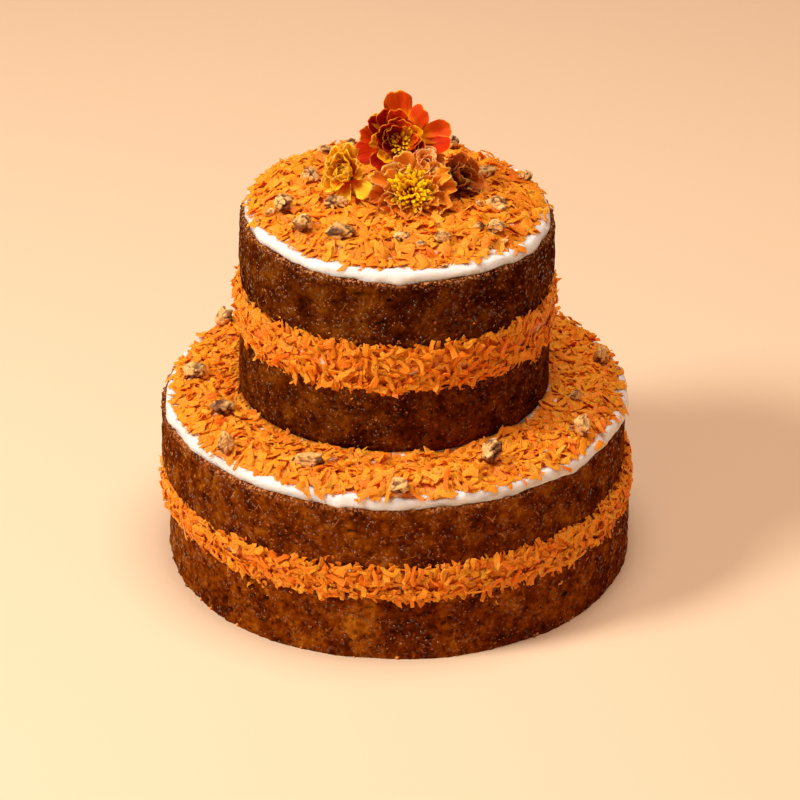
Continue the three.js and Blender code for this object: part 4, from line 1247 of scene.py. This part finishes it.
def make_flower(name, flower, seed, finishes):
    random = np.random.default_rng(seed)
    node, slot = "marigold_" + name, name + "_petal"
    axes = flower_axes(flower)
    heart = np.array(flower.heart, float)
    top = CAD_BOX[1][2] / MM - BOX_MARGIN

    def placed(points):
        moved = points @ axes + heart
        moved[:, 2] = np.minimum(moved[:, 2], top)
        return moved

    sheets = {}
    for petal, root, base in flower_petals(flower, random):
        points, along, across = petal_points(random, petal, root, flower.ruffle)
        # Each petal's tint: painted light, lighter towards the flower's right, with random tone between
        # petals.
        tint = np.clip(0.5 + 0.25 * math.cos(math.radians(petal.angle) + 0.3) + random.normal(0, 0.28), 0, 1)
        sheet = (points + base, along, across, np.full(len(along), tint))
        sheets.setdefault(petal.look or name, []).append(sheet)
    faces = sheet_faces(PETAL_ROWS, PETAL_COLUMNS)
    for look, group in sheets.items():
        points, along, across, tint = (np.concatenate(part) for part in zip(*group))
        each = [faces + 2 * PETAL_ROWS * PETAL_COLUMNS * number for number in range(len(group))]
        values = {"along": along, "across": across, "tint": tint}
        make_piece(f"{look}_petals_{node}", placed(points), each, finishes[look], slot, [node], values)
    if flower.florets:
        make_florets(node, slot, flower, random, placed, finishes["floret"])
    make_dome(node, slot, flower, axes, heart, finishes[flower.dome_look])
    make_stem(node, flower, axes, heart, finishes["stem"])


def floret_points(random, ball, length, width, lift, angle):
    """A small spoon-shaped floret that grows out of a flower's middle, and its points' places along it."""
    along = (ball[:, 0] + 1) / 2
    ahead = along * length
    side = ball[:, 1] * width / 2 * (0.45 + 0.65 * along)
    spoon = (random.uniform(0.2, 0.5) * ball[:, 1] ** 2 - 0.3 * along**2) * width * along
    up = ball[:, 2] * width * FLORET_BUILD + spoon
    cos, sin = math.cos(lift), math.sin(lift)
    return points_at(*turned(cos * ahead - sin * up, side, angle), sin * ahead + cos * up), along


def make_florets(node, slot, flower, random, placed, material):
    """The flower's middle: a dome of small bright florets that lean out from a sunken heart."""
    ball, triangles = unit_sphere(2)
    points, faces, alongs, tints = [], [], [], []
    dome_radius, dome_height = flower.dome
    for index in range(flower.florets):
        share = (index + 0.5) / flower.florets
        angle = index * GOLDEN_ANGLE + random.normal(0, 0.15)
        out = dome_radius * math.sqrt(share)
        lift = math.radians(76 - 66 * share + random.normal(0, 12))
        length, width = (measure * random.uniform(0.75, 1.25) for measure in flower.floret)
        floret, along = floret_points(random, ball, length, width, lift, angle)
        sunken = dome_height * (1 - share * 0.8 - 0.5 * smooth_step(0.12, 0.0, share))
        x, y = flower.centre[0] + out * math.cos(angle), flower.centre[1] + out * math.sin(angle)
        points.append(floret + [x, y, sunken])
        faces.append(triangles + index * len(ball))
        alongs.append(along)
        tints.append(random.random())
    across = np.tile(ball[:, 1], flower.florets)
    values = {"along": np.concatenate(alongs), "across": across, "tint": np.repeat(tints, len(ball))}
    make_piece("florets_" + node, placed(np.vstack(points)), faces, material, slot, (), values)


def make_dome(node, slot, flower, axes, heart, material):
    """The lumpy dome that the florets stand on."""
    ball, triangles = unit_sphere(3)
    size = np.array([flower.dome[0], flower.dome[0], flower.dome[1]])
    lumpy = ball * (1 + 0.06 * noise(ball, 0.3, 5))[:, None] * size * DOME_SHARE + [*flower.centre, 0]
    values = {key: np.full(len(ball), share) for key, share in (("along", 0.5), ("across", 0), ("tint", 0.2))}
    make_piece("dome_" + node, lumpy @ axes + heart, [triangles], material, slot, (), values)


def make_stem(node, flower, axes, heart, material):
    """The ribbed green cup behind a flower, and the stalk that curves down from it into the carrot."""
    start, bend = heart + axes[2] * STEM_START, heart - axes[2] * CUP_DEPTH
    foot = np.array(flower.foot, float)
    turn = ring_angles(STEM_SIDES)
    rings = []
    for share in np.linspace(0, 1, STEM_ROWS):
        middle = (1 - share) ** 2 * start + 2 * share * (1 - share) * bend + share**2 * foot
        ahead = 2 * (1 - share) * (bend - start) + 2 * share * (foot - bend)
        ahead = ahead / np.linalg.norm(ahead)
        side = np.cross(ahead, axes[1])
        side = side / np.linalg.norm(side)
        rise = np.cross(side, ahead)
        thick = np.interp(share, *STEM_THICKNESS) * flower.heart_radius
        reach = thick * (1 + 0.09 * np.cos(STEM_RIBS * turn) * smooth_step(0.6, 0.3, share))
        rings.append(middle + reach[:, None] * (np.cos(turn)[:, None] * side + np.sin(turn)[:, None] * rise))
    faces = [turned_over(group) for group in closed_tube(STEM_ROWS, STEM_SIDES)]
    make_piece("stem_" + node, np.vstack([*rings, start, foot]), faces, material, "stem")


# ---- Crumbs round the foot ----
FOOT_CRUMBS = 150
FOOT_HEIGHT = 3.5  # the crumbs lie against the wall's points below this


def make_crumbs(material, crust_piece):
    """Crumbs fallen against the foot of the cake."""
    random = np.random.default_rng(17)
    base = layer("lower_sponge_base")
    low = [vertex.co for vertex in crust_piece.data.vertices if vertex.co.z < FOOT_HEIGHT * MM]
    corners = np.array(low) / MM
    corners[:, 0] -= base.x
    reaches = np.hypot(corners[:, 0], corners[:, 1])
    outer = reaches > base.radius - 4
    turns = np.arctan2(corners[outer, 1], corners[outer, 0])
    order = np.argsort(turns)
    turns, reaches = turns[order], reaches[outer][order]
    ball, triangles = unit_sphere(1)
    points, faces, tints = [], [], []
    for index in range(FOOT_CRUMBS):
        angle = random.uniform(-math.pi, math.pi)
        size = random.uniform(0.45, 1.1) * np.array([1, 1, 0.75]) * random.uniform(0.8, 1.3, 3)
        near = np.searchsorted(turns, angle)
        reach = reaches[max(0, near - 12):near + 12].mean() - 0.1
        climb = max(0.0, random.normal(-0.6, 1.4))
        if not climb:
            reach = min(reach + random.exponential(0.5), box_reach(base.x, angle) - 1.3 * size.max())
        lump = ball * (1 + 0.3 * noise(ball + index, 0.7, index))[:, None] * size
        lump[:, 2] -= lump[:, 2].min()
        points.append(lump + [base.x + reach * math.cos(angle), reach * math.sin(angle), climb])
        faces.append(triangles + index * len(ball))
        tints.append(random.random() < 0.4)
    values = {"tint": np.repeat(np.array(tints, float), len(ball))}
    make_piece("foot_crumbs", np.vstack(points), faces, material, "sponge", (), values)


# ---- Putting the cake together ----
cream = cream_finish()
stained = stained_cream_finish()
carrot = carrot_finish()
crusts = {node: make_sponge(node, 200 + 10 * number) for number, node in enumerate(SPONGES)}
make_icing("lower_icing", 0, cream, 300)
make_icing("upper_icing", LEAN, cream, 310)
piles = {node: make_bed(node, bed, stained, carrot) for node, bed in BEDS.items()}
for node, filling in FILLINGS.items():
    make_filling(node, filling, stained, carrot)

walnut = walnut_finish()
kernel_ball = unit_sphere(4)
for number, (node, centre, size) in enumerate(walnut_footprints("walnut_")):
    make_walnut(node, centre, size, kernel_ball, walnut, 400 + 11 * number)
make_nut_bits(piles["upper_carrot_bed"], LEAN, unit_sphere(3), walnut)

finishes = {name: petal_finish(name) for name in PETAL_COLOURS}
finishes["stem"] = stem_finish()
for number, (name, flower) in enumerate(FLOWERS.items()):
    make_flower(name, flower, 600 + number, finishes)
make_crumbs(crumb_finish(), crusts["lower_sponge_base"])

card = card_finish()
for slot in bpy.data.objects["tier_card"].material_slots:
    slot.material = card


# ---- Studio, in metres ----
FLOOR_HALF = 6.0
SKY_COLOUR, SKY_STRENGTH = (1.0, 0.30, 0.06, 1), 0.25
LENS, SENSOR = 169.07, 36  # in millimetres, as Blender has them
CAMERA_PLACE = (0.0016, -1.582, 0.9458)
CAMERA_TILT = math.radians(61.21)  # from straight down


def area_light(name, place, target, size, watts, colour):
    data = bpy.data.lights.new(name, "AREA")
    data.shape = "DISK"
    data.size, data.energy, data.color = size, watts, colour
    light = bpy.data.objects.new(name, data)
    light.location = place
    light.rotation_euler = (Vector(target) - light.location).to_track_quat("-Z", "Y").to_euler()
    bpy.context.scene.collection.objects.link(light)


def floor():
    mesh = bpy.data.meshes.new("floor")
    corners = [(-1, -1, 0), (1, -1, 0), (1, 1, 0), (-1, 1, 0)]
    mesh.from_pydata([(x * FLOOR_HALF, y * FLOOR_HALF, z) for x, y, z in corners], [], [(0, 1, 2, 3)])
    finish = Finish("floor", Roughness=0.8)
    finish.drive("Base Color", finish.mix(finish.noise(400), (0.80, 0.60, 0.40), (0.82, 0.63, 0.43)))
    mesh.materials.append(finish.material)
    plane = bpy.data.objects.new("floor", mesh)
    bpy.context.scene.collection.objects.link(plane)


floor()
area_light("key", (-1.2, -0.5, 1.35), (0, 0, 0.12), 0.5, 30, (1.0, 0.96, 0.90))
area_light("top", (0.15, -0.05, 1.75), (0, 0, 0.12), 1.0, 20, (1.0, 0.95, 0.88))
area_light("fill", (-0.4, -1.9, 1.1), (0, 0, 0.1), 1.2, 3.3, (1.0, 0.58, 0.28))
world = bpy.data.worlds.new("studio")
world.use_nodes = True
sky = world.node_tree.nodes["Background"].inputs
sky["Color"].default_value, sky["Strength"].default_value = SKY_COLOUR, SKY_STRENGTH
bpy.context.scene.world = world
bpy.context.scene.view_settings.view_transform = "Standard"

camera_data = bpy.data.cameras.new("camera")
camera_data.lens, camera_data.sensor_width = LENS, SENSOR
camera = bpy.data.objects.new("camera", camera_data)
camera.location = CAMERA_PLACE
camera.rotation_euler = (CAMERA_TILT, 0, 0)
bpy.context.scene.collection.objects.link(camera)
bpy.context.scene.camera = camera
